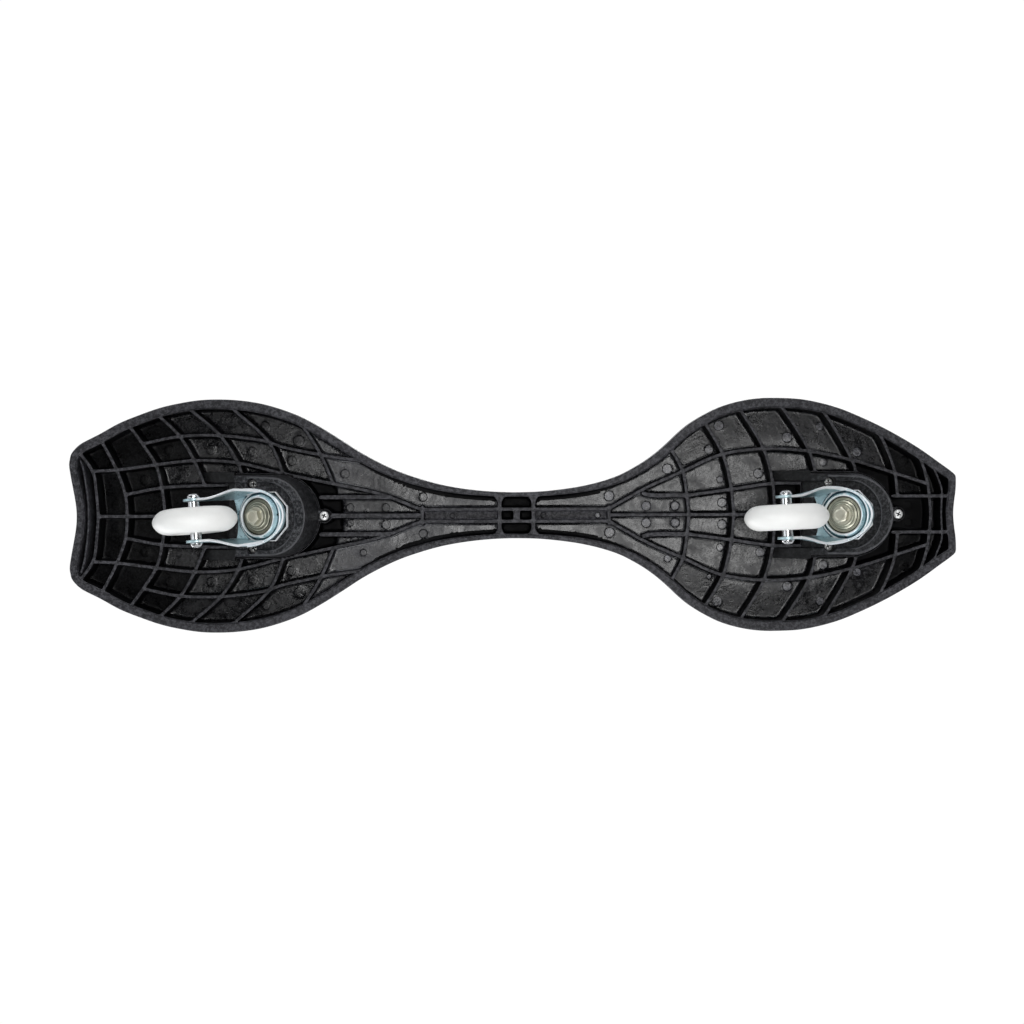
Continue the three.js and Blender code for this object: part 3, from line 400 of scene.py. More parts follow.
MAT = {
    "moulding": moulding(),
    "floor": moulding_floor(),
    # painted light: the channel copy of the moulding is 1.7 times lighter
    "channel": moulding("moulding_channel_painted_light", 1.7),
    # painted light and shade: the neck copy of the floor is 2.4 times lighter, with a painted shade patch on one side
    "neck": moulding_floor("moulding_neck_painted_light_shade", 2.4, 0.6, 0.04, True),
    # painted highlight: the mark copy of the floor is 6.5 times lighter
    "mark_highlight": moulding_floor("moulding_marks_painted_highlight", 6.5, 0.7, 0.05),
    # painted shade: the ends copy of the floor is darker and duller
    "ends": moulding_floor("moulding_ends_painted_shade", 0.35, 0.14, 0.10),
    # painted light and shade: lighter and darker copies of the wedge plastic for the rear and front wedge faces, their
    # outer slopes and the recess
    "wedge_rear": wedge_plastic("wedge_rear_face_painted_light", 1.5),
    "wedge_front": wedge_plastic("wedge_front_face_painted_shade", 0.75),
    "wedge_slope_rear": wedge_plastic("wedge_slope_rear", 0.8),
    "wedge_slope_front": wedge_plastic("wedge_slope_front", 3.2),
    "wedge_painted_shade": wedge_plastic("wedge_recess_painted_shade", 0.22),
    "painted_shade": moulding_painted_shade(),
    "wedge_edge_highlight": wedge_edges_painted_highlight(),
    "zinc": metal("zinc_plate", (0.30, 0.46, 0.50), (0.66, 0.84, 0.87), 0.30, 0.3, (0.50, 0.68, 0.75), metallic=0.55),
    # painted highlight on the fork's ring, lip and arm edges and the plate's bevel
    "zinc_highlight": metal("zinc_painted_highlight", (0.80, 0.85, 0.87), (0.94, 0.95, 0.95), 0.34, 0.3, (0.90, 0.93, 0.97), metallic=0.3),
    # painted shade in the fork's grooves and on one side of its head
    "zinc_shade": metal("zinc_groove_painted_shade", (0.035, 0.085, 0.105), (0.085, 0.17, 0.20), 0.42, 0.3, (0.05, 0.10, 0.14), metallic=0.5),
    # painted shade on the octagon plate and the skirt of the upper race
    "plate_dark": metal("plate_painted_shade", (0.010, 0.016, 0.020), (0.022, 0.034, 0.040), 0.45, 0.3, (0.014, 0.022, 0.028), metallic=0.5),
    "passivated": metal("passivated_zinc", (0.17, 0.165, 0.12), (0.30, 0.29, 0.22), 0.34, 0.3, (0.20, 0.22, 0.18), metallic=0.5),
    # painted light: a lighter copy of the passivated zinc for the front cup
    "passivated_front_lit": metal("passivated_painted_light", (0.30, 0.29, 0.22), (0.50, 0.49, 0.38), 0.34, 0.3, (0.36, 0.38, 0.31), metallic=0.5),
    # painted shade and painted highlight for the steps of the cup
    "passivated_shade": metal("passivated_painted_shade", (0.022, 0.021, 0.015), (0.05, 0.048, 0.035), 0.45, 0.3, (0.03, 0.032, 0.025), metallic=0.4),
    "passivated_highlight": metal("passivated_painted_highlight", (0.46, 0.45, 0.35), (0.64, 0.62, 0.50), 0.32, 0.3, (0.50, 0.52, 0.42), metallic=0.5),
    "pin": metal("pin_zinc", (0.46, 0.445, 0.35), (0.62, 0.60, 0.49), 0.34, 0.3, (0.56, 0.55, 0.50), metallic=0.5),
    "screw": metal("screw_chrome", (0.62, 0.62, 0.61), (0.88, 0.88, 0.86), 0.36, 0.25, metallic=0.4),
    "steel": metal("bright_steel", (0.66, 0.67, 0.68), (0.80, 0.80, 0.80), 0.2, 0.25),
    "race": metal("bearing_steel", (0.42, 0.43, 0.44), (0.58, 0.59, 0.60), 0.24, 0.2),
    "urethane": urethane(),
    "core": core_nylon(),
    "seal": rubber_seal(),
}


# ------------------------------------------------------------------ mesh helpers
def new_mesh(name, verts, faces):
    me = bpy.data.meshes.new(name)
    me.from_pydata([tuple(map(float, v)) for v in verts], [], [list(map(int, f)) for f in faces])
    me.validate()
    me.update()
    return me


def new_object(name, me):
    o = bpy.data.objects.new(name, me)
    bpy.context.scene.collection.objects.link(o)
    return o


def tidy(me, weld=1e-4):
    bm = bmesh.new()
    bm.from_mesh(me)
    bmesh.ops.remove_doubles(bm, verts=bm.verts, dist=weld)
    bmesh.ops.dissolve_degenerate(bm, edges=bm.edges, dist=weld * 0.5)
    loose = [v for v in bm.verts if not v.link_faces]
    bmesh.ops.delete(bm, geom=loose, context="VERTS")
    bmesh.ops.recalc_face_normals(bm, faces=bm.faces)
    bm.to_mesh(me)
    bm.free()
    return me


def apply_modifiers(o):
    dg = bpy.context.evaluated_depsgraph_get()
    me = bpy.data.meshes.new_from_object(o.evaluated_get(dg))
    o.modifiers.clear()
    old = o.data
    o.data = me
    bpy.data.meshes.remove(old)
    return o


def cut(o, tool, how="DIFFERENCE"):
    mod = o.modifiers.new("cut", "BOOLEAN")
    mod.operation = how
    mod.solver = "EXACT"
    mod.object = tool
    apply_modifiers(o)
    me = tool.data
    bpy.data.objects.remove(tool)
    bpy.data.meshes.remove(me)
    return o


def bevel(o, width, segments=2, angle=35, slot=-1):
    mod = o.modifiers.new("bevel", "BEVEL")
    mod.material = slot
    mod.width = width
    mod.segments = segments
    mod.limit_method = "ANGLE"
    mod.angle_limit = math.radians(angle)
    mod.use_clamp_overlap = True
    mod.harden_normals = False
    return apply_modifiers(o)


def area_normals(me):
    """Smooth shading whose normals follow the larger faces, so flats stay flat."""
    n = len(me.vertices)
    co = np.empty(n * 3)
    me.vertices.foreach_get("co", co)
    co = co.reshape(-1, 3)
    total = np.zeros((n, 3))
    for poly in me.polygons:
        vs = list(poly.vertices)
        k = np.array(poly.normal) * poly.area
        for v in vs:
            total[v] += k
    length = np.linalg.norm(total, axis=1)
    length[length == 0] = 1
    total /= length[:, None]
    me.shade_smooth()
    me.normals_split_custom_set_from_vertices([tuple(v) for v in total])


def smooth_by_angle(me, angle=32):
    me.shade_smooth()
    me.set_sharp_from_angle(angle=math.radians(angle))


def rounded(profile, r, steps=3):
    """Closed 2D profile with its corners replaced by small arcs."""
    n = len(profile)
    out = []
    for i in range(n):
        p = np.array(profile[i], float)
        a = np.array(profile[i - 1], float)
        b = np.array(profile[(i + 1) % n], float)
        u, w = a - p, b - p
        lu, lw = np.linalg.norm(u), np.linalg.norm(w)
        u, w = u / lu, w / lw
        if p[0] <= 1e-6:
            out.append(tuple(p))
            continue
        cosang = float(np.clip(np.dot(u, w), -1, 1))
        half = math.acos(cosang) / 2
        if half > math.radians(82):
            out.append(tuple(p))
            continue
        t = min(r / math.tan(half), 0.42 * lu, 0.42 * lw)
        s, e = p + u * t, p + w * t
        for k in range(steps + 1):
            f = k / steps
            q = (1 - f) ** 2 * s + 2 * f * (1 - f) * p + f * f * e
            out.append((float(q[0]), float(q[1])))
    return out


def lathe(profile, n=96, axis="z"):
    """Closed surface of revolution. profile: closed loop of (radius, height)."""
    verts, rows = [], []
    for r, h in profile:
        if r <= 1e-6:
            rows.append([len(verts)] * n)
            verts.append((0, 0, h))
        else:
            row = []
            for k in range(n):
                a = 2 * math.pi * k / n
                row.append(len(verts))
                verts.append((r * math.cos(a), r * math.sin(a), h))
            rows.append(row)
    faces = []
    m = len(rows)
    for i in range(m):
        p, q = rows[i], rows[(i + 1) % m]
        if p[0] == p[1] and q[0] == q[1]:
            continue
        for k in range(n):
            f = [p[k], p[(k + 1) % n], q[(k + 1) % n], q[k]]
            g = []
            for v in f:
                if v not in g:
                    g.append(v)
            if len(g) > 2:
                faces.append(g)
    if axis == "y":
        verts = [(x, z, y) for x, y, z in verts]
    return verts, faces


def turned(profile, r=0.25, n=96, axis="z", name="part", steps=3):
    verts, faces = lathe(rounded(profile, r, steps) if r else profile, n, axis)
    return new_object(name, tidy(new_mesh(name, verts, faces)))


def prism(points, z0, z1, name="part"):
    n = len(points)
    verts = [(x, y, z0) for x, y in points] + [(x, y, z1) for x, y in points]
    faces = [list(range(n))[::-1], list(range(n, 2 * n))]
    faces += [[i, (i + 1) % n, n + (i + 1) % n, n + i] for i in range(n)]
    return new_object(name, tidy(new_mesh(name, verts, faces)))


def box_object(x0, x1, y0, y1, z0, z1):
    return prism([(x0, y0), (x1, y0), (x1, y1), (x0, y1)], z0, z1)


def circle(cx, cy, r, n=32):
    return [(cx + r * math.cos(2 * math.pi * k / n), cy + r * math.sin(2 * math.pi * k / n)) for k in range(n)]


def rod(r, z0, z1, n=48, x=0.0, y=0.0):
    return prism(circle(x, y, r, n), z0, z1)


def join(objects, name):
    bm = bmesh.new()
    for o in objects:
        bm.from_mesh(o.data)
    me = bpy.data.meshes.new(name)
    bm.to_mesh(me)
    bm.free()
    for o in objects:
        old = o.data
        bpy.data.objects.remove(o)
        bpy.data.meshes.remove(old)
    return new_object(name, me)


# ------------------------------------------------------------------ deck in plan
def spline(points, step, closed=False):
    """Centripetal curve through the points, sampled about every step."""
    P = [np.array(p, float) for p in points]
    n = len(P)
    if n == 2 and not closed:
        k = max(1, int(math.ceil(np.linalg.norm(P[1] - P[0]) / step)))
        return [tuple(P[0] + (P[1] - P[0]) * i / k) for i in range(k + 1)]
    out = []
    for i in range(n if closed else n - 1):
        p1, p2 = P[i], P[(i + 1) % n]
        p0 = P[i - 1] if closed or i > 0 else 2 * p1 - p2
        p3 = P[(i + 2) % n] if closed or i + 2 < n else 2 * p2 - p1
        t0 = 0.0
        t1 = t0 + math.sqrt(np.linalg.norm(p1 - p0))
        t2 = t1 + math.sqrt(np.linalg.norm(p2 - p1))
        t3 = t2 + math.sqrt(np.linalg.norm(p3 - p2))
        k = max(1, int(math.ceil(np.linalg.norm(p2 - p1) / step)))
        for j in range(k):
            t = t1 + (t2 - t1) * j / k
            a1 = (t1 - t) / (t1 - t0) * p0 + (t - t0) / (t1 - t0) * p1
            a2 = (t2 - t) / (t2 - t1) * p1 + (t - t1) / (t2 - t1) * p2
            a3 = (t3 - t) / (t3 - t2) * p2 + (t - t2) / (t3 - t2) * p3
            b1 = (t2 - t) / (t2 - t0) * a1 + (t - t0) / (t2 - t0) * a2
            b2 = (t3 - t) / (t3 - t1) * a2 + (t - t1) / (t3 - t1) * a3
            out.append(tuple((t2 - t) / (t2 - t1) * b1 + (t - t1) / (t2 - t1) * b2))
    if not closed:
        out.append(tuple(P[-1]))
    return out


def signed_area(loop):
    a = np.array(loop)
    b = np.roll(a, -1, axis=0)
    return 0.5 * float(np.sum(a[:, 0] * b[:, 1] - b[:, 0] * a[:, 1]))


def inward(loop):
    """Unit normals to the left of a closed loop, so into a counter-clockwise one."""
    a = np.array(loop, float)
    t = np.roll(a, -1, axis=0) - np.roll(a, 1, axis=0)
    t /= np.maximum(np.linalg.norm(t, axis=1), 1e-9)[:, None]
    return np.stack([-t[:, 1], t[:, 0]], axis=1)


def strip(line, width):
    L = np.array(line, float)
    d = np.gradient(L, axis=0)
    d /= np.linalg.norm(d, axis=1)[:, None]
    nrm = np.stack([-d[:, 1], d[:, 0]], axis=1) * width / 2
    return [tuple(p) for p in L + nrm] + [tuple(p) for p in (L - nrm)[::-1]]


def ccw(loop):
    return loop if signed_area(loop) > 0 else loop[::-1]


def footprint(cx, r, back, grow=0.0, n=40):
    pts = []
    for i in range(n + 1):
        a = -math.pi / 2 + math.pi * i / n
        pts.append((cx + (r + grow) * math.cos(a), (r + grow) * math.sin(a)))
    return pts + [(back - grow, r + grow), (back - grow, -(r + grow))]


def triangulate(polys, free=()):
    """Triangles that keep every edge of the closed outlines: points, triangles, centres."""
    verts, edges = [], []
    for p in polys:
        first, n = len(verts), len(p)
        verts += [Vector((float(x), float(y))) for x, y in p]
        edges += [(first + i, first + (i + 1) % n) for i in range(n)]
    verts += [Vector((float(x), float(y))) for x, y in free]
    v, _, f, _, _, _ = delaunay_2d_cdt(verts, edges, [], 0, 1e-5, False)
    pts = np.array([tuple(p) for p in v])
    tris = np.array([tuple(t) for t in f])
    return pts, tris, pts[tris].mean(axis=1)


def rim_width(x):
    neck = math.exp(-(((x - NECK_X) / 95) ** 2))
    ends = max(0.0, (abs(x) - 395) / 17)
    wide = 1.3 * math.exp(-(((x - 230) / 50) ** 2)) + 0.8 * math.exp(-(((x + 255) / 45) ** 2))
    return 7.7 + wide - (7.7 - 3.5) * neck - 1.7 * min(1.0, ends)


def shifted(line, sign=1):
    return [(x + X_SHIFT, sign * y) for x, y in line]


upper = [(x + X_SHIFT, y) for x, y in OUTLINE]
lower = [(x + X_SHIFT, -y) for x, y in OUTLINE[1:-1][::-1]]
outline = ccw(spline(upper + lower, 3.6, closed=True))
outline_n = inward(outline)
outline = np.array(outline)


def inset(distance):
    d = np.array([distance(x) if callable(distance) else distance for x, _ in outline])
    return outline + outline_n * d[:, None]


def loops_of(tris):
    """Boundary loops of a set of triangles, in the triangles' own direction."""
    edges = {}
    for a, b, c in tris:
        for e in ((a, b), (b, c), (c, a)):
            edges[e] = edges.get(e, 0) + 1
    nxt = {}
    for a, b in edges:
        if (b, a) not in edges:
            nxt.setdefault(a, []).append(b)
    loops = []
    while nxt:
        start = next(iter(nxt))
        loop, here = [], start
        while True:
            loop.append(here)
            to = nxt[here].pop()
            if not nxt[here]:
                del nxt[here]
            here = to
            if here == start or here not in nxt:
                break
        loops.append(loop)
    return loops


def relaxed(loop, step=0.8, sigma=1.25):
    """Closed loop with its corners rounded, and where each kept point lies."""
    a = np.array(loop, float)
    seg = np.linalg.norm(np.roll(a, -1, axis=0) - a, axis=1)
    total = seg.sum()
    n = max(16, int(round(total / step)))
    s = np.concatenate([[0], np.cumsum(seg)])
    closed = np.vstack([a, a[:1]])
    at = np.arange(n) * total / n
    fine = np.stack([np.interp(at, s, closed[:, 0]), np.interp(at, s, closed[:, 1])], axis=1)
    width = sigma / (total / n)
    k = np.arange(-int(4 * width) - 1, int(4 * width) + 2)
    w = np.exp(-0.5 * (k / width) ** 2)
    w /= w.sum()
    smooth = sum(wi * np.roll(fine, -ki, axis=0) for ki, wi in zip(k, w))
    t = np.roll(smooth, -1, axis=0) - smooth
    ang = np.unwrap(np.arctan2(t[:, 1], t[:, 0]))
    keep, last_a, last_s = [0], ang[0], 0.0
    for i in range(1, n):
        si = i * total / n
        if abs(ang[i] - last_a) > math.radians(15) or si - last_s > 3.4:
            if total - si > 0.9:
                keep.append(i)
                last_a, last_s = ang[i], si
    return smooth[keep], inward(smooth)[keep]


def pushed(p, n, d):
    """Loop moved along its normals, by less where a tight corner leaves no room."""
    d = np.broadcast_to(np.asarray(d, float), (len(p),))
    k = d.copy()
    for _ in range(16):
        tight = distance_to(p, p + n * k[:, None]) < 0.9 * k
        if not tight.any():
            break
        k[tight] *= 0.8
    short = k < d
    k[short] *= 0.85
    k = np.minimum(k, 0.5 * k + 0.25 * (np.roll(k, 1) + np.roll(k, -1)))
    return p + n * k[:, None]


def distance_to(loop, pts, only=None):
    """Distance from points to a closed loop, or to the marked edges of it."""
    a = np.asarray(loop, float)
    d = np.roll(a, -1, axis=0) - a
    if only is not None:
        a, d = a[only], d[only]
    out = np.full(len(pts), 1e9)
    if len(a) == 0:
        return out
    L = np.maximum((d ** 2).sum(axis=1), 1e-12)
    for i in range(0, len(pts), 4000):
        p = pts[i:i + 4000, None, :] - a[None]
        t = np.clip((p * d[None]).sum(axis=2) / L[None], 0, 1)
        out[i:i + 4000] = np.linalg.norm(p - t[:, :, None] * d[None], axis=2).min(axis=1)
    return out


def contains(loop, pts):
    a = np.asarray(loop, float)
    hit = np.zeros(len(pts), bool)
    near = np.nonzero(((pts >= a.min(axis=0)) & (pts <= a.max(axis=0))).all(axis=1))[0]
    if len(near) == 0:
        return hit
    p = pts[near]
    inside = np.zeros(len(p), bool)
    for (x0, y0), (x1, y1) in zip(a, np.roll(a, -1, axis=0)):
        if y0 == y1:
            continue
        cross = (y0 > p[:, 1]) != (y1 > p[:, 1])
        inside ^= cross & (p[:, 0] < (x1 - x0) * (p[:, 1] - y0) / (y1 - y0) + x0)
    hit[near] = inside
    return hit


def floor_level(x, y):
    """Height of the floor of the cell around a point."""
    if -12.5 < x < 20.0:
        return CELL_FLOOR
    if abs(y) < 2.5 and -84.0 < x < 88.0:
        return CHANNEL_FLOOR
    zone = shifted(NECK_ZONE)
    return NECK_FLOOR if contains(zone, np.array([[x, max(abs(y), 0.5)]]))[0] else CELL_FLOOR


ZONE = np.array(shifted(NECK_ZONE))
ZONE_EDGES = np.ones(len(ZONE), bool)
ZONE_EDGES[6] = False            # the edge along the middle of the board


def in_zone(pts):
    return contains(ZONE, np.stack([pts[:, 0], np.maximum(np.abs(pts[:, 1]), 0.01)], axis=1))


def stepped_level(pts):
    """Floor height in a cell that runs from the platform's depth to the neck's."""
    q = np.stack([pts[:, 0], np.maximum(np.abs(pts[:, 1]), 0.01)], axis=1)
    d = distance_to(ZONE, q, ZONE_EDGES)
    t = np.clip(0.5 + np.where(contains(ZONE, q), d, -d) / 1.6, 0, 1)
    return CELL_FLOOR + (NECK_FLOOR - CELL_FLOOR) * t * t * (3 - 2 * t)


class Shell:
    """Collects rings and faces of the moulding, with a material per face."""

    def __init__(self):
        self.verts, self.faces, self.mats = [], [], []

    def ring(self, pts, z):
        first = len(self.verts)
        zs = z if hasattr(z, "__len__") else [z] * len(pts)
        self.verts += [(float(x), float(y), float(k)) for (x, y), k in zip(pts, zs)]
        return list(range(first, len(self.verts)))

    def join(self, a, b, mat):
        n = len(a)
        for i in range(n):
            j = (i + 1) % n
            self.faces.append([a[i], a[j], b[j], b[i]])
            self.mats.append(mat)

    def flat(self, verts, tris, z, mat):
        first = len(self.verts)
        zs = z if hasattr(z, "__len__") else [z] * len(verts)
        self.verts += [(float(p[0]), float(p[1]), float(k)) for p, k in zip(verts, zs)]
        for k, t in enumerate(tris):
            self.faces.append([first + int(i) for i in t])
            self.mats.append(int(mat[k]) if hasattr(mat, "__len__") else mat)


def build_deck():
    rib_flat = 0.4          # the lip rounding takes this much off each side of a rib
    pocket = [tuple(p) for p in inset(lambda x: rim_width(x) - 0.1)]
    cells_end = [tuple(p) for p in inset(lambda x: rim_width(x) + 0.25)]
    walls = []
    for sets, width in (((REAR_CROSS, REAR_LONG, FRONT_CROSS, FRONT_LONG), 2.75), ((REAR_WIDE, FRONT_WIDE), 3.8)):
        for lines in sets:
            for line in lines:
                for sign in (1, -1):
                    walls.append(strip(spline(shifted(line, sign), 4.0), width - 2 * rib_flat))
    for lines, width in ((REAR_CENTRE, 2.75), (NECK_RIBS, 2.8), (FRONT_CENTRE, 2.75), (REAR_CENTRE_WIDE, 4.0), (NECK_WALLS, 3.3), (NECK_POST, 6.0)):
        for line in lines:
            walls.append(strip(spline(shifted(line), 4.0), width - 2 * rib_flat))
    for line in END_RIDGES:
        whole = shifted(line) + shifted(line[:-1][::-1], -1)
        walls.append(strip(spline(whole, 4.0), 1.35 - rib_flat))
    for x in (NECK_WALLS[0][0][0] + X_SHIFT, NECK_WALLS[1][0][0] + X_SHIFT):
        for sign in (1, -1):        # the transverse walls fan out into the rim
            walls.append([(x - 1.2, sign * 12.5), (x + 1.2, sign * 12.5), (x + 4.6, sign * 18.5), (x - 4.6, sign * 18.5)])
    seats = []
    for cx, _, _ in RINGS.values():
        walls.append(footprint(cx + SEAT_MID, SEAT_R, cx + SEAT_BACK, 1.3))
        walls.append(circle(cx + 57.5, 0, LUG_R + 1.9, 28))
        seats += [footprint(cx + SEAT_MID, SEAT_R, cx + SEAT_BACK, 0.45), circle(cx + 57.5, 0, LUG_R + 0.6, 28),
                  [(cx + 48, -LUG_R - 0.6), (cx + 57.5, -LUG_R - 0.6), (cx + 57.5, LUG_R + 0.6), (cx + 48, LUG_R + 0.6)]]
    verts, tris, mid = triangulate([cells_end] + walls + seats)

    def components(wanted):
        ids = np.nonzero(wanted)[0]
        by_edge = {}
        for i in ids:
            a, b, c = tris[i]
            for e in ((a, b), (b, c), (c, a)):
                by_edge.setdefault((min(e), max(e)), []).append(int(i))
        near = {int(i): [] for i in ids}
        for pair in by_edge.values():
            if len(pair) == 2:
                near[pair[0]].append(pair[1])
                near[pair[1]].append(pair[0])
        seen, groups = set(), []
        for i in near:
            if i in seen:
                continue
            stack, group = [i], []
            seen.add(i)
            while stack:
                j = stack.pop()
                group.append(j)
                for k in near[j]:
                    if k not in seen:
                        seen.add(k)
                        stack.append(k)
            groups.append(group)
        return groups

    filled = np.zeros(len(tris), bool)
    for w in walls:
        filled |= contains(w, mid)
    seated = np.zeros(len(tris), bool)
    for w in seats:
        seated |= contains(w, mid)
    rings = []              # (kind, [(points, normals), ...])
    for kind, wanted in (("cell", contains(cells_end, mid) & ~filled), ("seat", seated)):
        for group in components(wanted):
            t = tris[group]
            a, b, c = verts[t[:, 0]], verts[t[:, 1]], verts[t[:, 2]]
            area = 0.5 * np.abs((b[:, 0] - a[:, 0]) * (c[:, 1] - a[:, 1]) - (c[:, 0] - a[:, 0]) * (b[:, 1] - a[:, 1])).sum()
            if area < 22:
                continue
            loops = [[verts[i] for i in l] for l in loops_of(t.tolist()) if len(l) > 2]
            loops = sorted((l for l in loops if abs(signed_area(l)) > 3), key=lambda l: -abs(signed_area(l)))
            rings.append((kind, [relaxed(l, sigma=1.3 if kind == "cell" else 0.5) for l in loops]))

    shell = Shell()
    RIM, FLOOR, PAINTED_SHADE, CHANNEL_LIT, NECK_LIT_SHADED, ENDS_SHADED, MARK_HIGHLIGHT = range(7)
    # plane of the rib tops
    v2, t2, mid2 = triangulate([pocket] + [p for _, made in rings for p, _ in made])
    keep = contains(pocket, mid2)
    for _, made in rings:
        hole = contains(made[0][0], mid2)
        for p, _ in made[1:]:
            hole &= ~contains(p, mid2)
        keep &= ~hole
    tops = mid2[keep]
    shade = np.full(len(tops), RIM)
    for cx, _, _ in RINGS.values():     # thin ledges round the wedges lie in shade
        shade[contains(footprint(cx + SEAT_MID, SEAT_R, cx + SEAT_BACK, 1.5), tops) | contains(circle(cx + 57.5, 0, LUG_R + 2.1, 28), tops)] = PAINTED_SHADE
    shell.flat(v2, t2[keep], RIB_BOTTOM, shade)

    used = np.zeros(len(MARKS), bool)
    edge = np.array(pocket)
    for kind, made in rings:
        if kind == "seat":
            for p, n in made:
                a = shell.ring(p, RIB_BOTTOM)
                b = shell.ring(p + n * 0.02, WEDGE_TOP + 0.3)
                shell.join(a, b, RIM)
            fv, ft, fm = triangulate([p + n * 0.02 for p, n in made])
            shell.flat(fv, ft[contains(made[0][0] + made[0][1] * 0.02, fm)], WEDGE_TOP + 0.3, RIM)
            continue
        centre = np.mean(made[0][0], axis=0)
        inner = in_zone(made[0][0] + made[0][1] * 1.2)
        central = -12.5 < centre[0] < 20.0
        split = not central and 0.08 < inner.mean() < 0.92
        flat_level = floor_level(*centre)
        platform = flat_level == CELL_FLOOR and not central

        def level(points):
            return stepped_level(points) if split else np.full(len(points), flat_level)

        # painted shade: whole cells in the middle of the neck, beside the nose and between the wedge legs get the
        # painted shade material; the channel cells get the lighter channel copy
        dark = central or (335 < centre[0] < 353 and abs(centre[1]) < 37)
        dark = dark or (abs(centre[1]) < 34 and (-290 < centre[0] < -262 or 243 < centre[0] < 269))
        plain = PAINTED_SHADE if dark else CHANNEL_LIT if flat_level == CHANNEL_FLOOR else FLOOR
        neck = plain == FLOOR and flat_level == NECK_FLOOR
        # painted light and shade on the floors of the left half of the neck
        if neck and centre[0] < 0:
            plain = NECK_LIT_SHADED
        # painted shade: floors at both ends and beside the rear wedge get the darker ends copy
        if plain == FLOOR and (centre[0] < -312 or centre[0] > 325 or (abs(centre[1]) < 34 and -335 < centre[0] < -262)):
            plain = ENDS_SHADED
        # walls get painted shade, except those at the tail end, which get the lighter channel copy as painted light
        wall = CHANNEL_LIT if centre[0] < -384 else PAINTED_SHADE
        bases = []
        for p, n in made:
            lean = distance_to(edge, p) < 1.6
            both = lean & np.roll(lean, -1)
            before = shell.ring(p, RIB_BOTTOM)
            for k, (d, z) in enumerate(((0.2, 99.07), (0.36, 99.25), (0.43, 99.6))):
                row = shell.ring(pushed(p, n, d), z)
                shell.join(before, row, RIM if k < 2 else wall)
                before = row
            bases.append((pushed(p, n, 0.46 + 0.45 * (level(p) - 101.6) / 22.4), n, both, p, before))

        feet = [(b[0], b[2]) for b in bases]

        def height(points):
            drop = np.zeros(len(points))
            bottom = level(points)
            if platform or split:        # the platforms turn up towards the rim
                bottom = bottom + 0.10 * np.clip(28.0 - distance_to(edge, points), 0, 28) * np.clip((bottom - NECK_FLOOR) / 12, 0, 1)
            for q, at_rim in feet:
                for edges, reach, most in ((~at_rim, 1.5, 2.0), (at_rim, 1.9, 2.6)):
                    t = np.clip(distance_to(q, points, edges) / reach, 0, 1)
                    t[t < 1e-3] = 0
                    drop = np.maximum(drop, most * (1 - np.sqrt(np.maximum(0, 1 - (1 - t) ** 2))))
            return bottom - drop

        # wall: steep at the ribs; at the rim it turns early into a leaning floor
        for q, n, _, p, before in bases:
            zq = height(q)
            row = shell.ring(0.5 * (pushed(p, n, 0.43) + q), 0.5 * (99.6 + zq))
            shell.join(before, row, wall)
            shell.join(row, shell.ring(q, zq), wall)
        bases = [(q, n, at_rim) for q, n, at_rim, _, _ in bases]

        outer = bases[0][0]
        free = [q + n * d for q, n, _ in bases for d in (0.2, 0.6, 1.5, 2.7, 4.2)]
        need = [np.full(len(q), d) for q, n, _ in bases for d in (0.2, 0.6, 1.5, 2.7, 4.2)]
        lo, hi = outer.min(axis=0), outer.max(axis=0)
        gx, gy = np.meshgrid(np.arange(lo[0] + 3, hi[0], 5.0), np.arange(lo[1] + 3, hi[1], 5.0))
        free.append(np.stack([gx.ravel(), gy.ravel()], axis=1))
        need.append(np.full(gx.size, 5.0))
        if split:
            near_step = []
            for k in range(3, 6):
                (x0, y0), (x1, y1) = ZONE[k], ZONE[k + 1]
                m = max(2, int(math.hypot(x1 - x0, y1 - y0) / 1.6))
                along = np.array([(x0 + (x1 - x0) * i / m, y0 + (y1 - y0) * i / m) for i in range(m)])
                off = np.array([-(y1 - y0), x1 - x0]) / math.hypot(x1 - x0, y1 - y0)
                for d in (-0.85, 0.0, 0.85):
                    near_step += [along + off * d, (along + off * d) * np.array([1, -1])]
            near_step = np.vstack(near_step)
            free.append(near_step)
            need.append(np.full(len(near_step), 0.5))
        free, need = np.vstack(free), np.concatenate(need)
        dist = np.full(len(free), 1e9)
        ok = contains(outer, free)
        for k, (q, _, _) in enumerate(bases):
            dist = np.minimum(dist, distance_to(q, free))
            if k:
                ok &= ~contains(q, free)
        ok &= dist > need * 0.9
        marks = []
        for i, (mx, my, r, proud) in enumerate(MARKS):
            c = np.array([[mx, my]])
            if used[i] or not contains(outer, c)[0]:
                continue
            r = min(r, min(distance_to(q, c)[0] for q, _, _ in bases) - 1.0)
            if r < 1.6:
                continue
            used[i] = True
            marks.append((mx, my, r, proud))
            ok &= np.linalg.norm(free - c, axis=1) > r + 0.7
        chosen = {}
        for q in free[ok]:
            chosen.setdefault((round(q[0] / 0.45), round(q[1] / 0.45)), q)
        discs = [circle(mx, my, r, 28) for mx, my, r, _ in marks]
        fv, ft, fm = triangulate([q for q, _, _ in bases] + discs, list(chosen.values()))
        good = contains(outer, fm)
        for q, _, _ in bases[1:]:
            good &= ~contains(q, fm)
        for disc in discs:
            good &= ~contains(disc, fm)
        where = fm[good]
        look = np.full(len(where), plain)
        if neck:        # painted shadow along the foot of the rim in the neck
            foot = 4.2 * np.clip((where[:, 0] + 165) / 70, 0, 1) * np.clip((115 - where[:, 0]) / 40, 0, 1)
            for q, at_rim in feet:
                if at_rim.any():
                    look[distance_to(q, where, at_rim) < foot] = PAINTED_SHADE
        # painted shade on the deeper part of a floor that steps between levels
        if split:
            look[stepped_level(where) > 118] = PAINTED_SHADE
        shell.flat(fv, ft[good], height(fv), look)
        for (mx, my, r, proud), disc in zip(marks, discs):
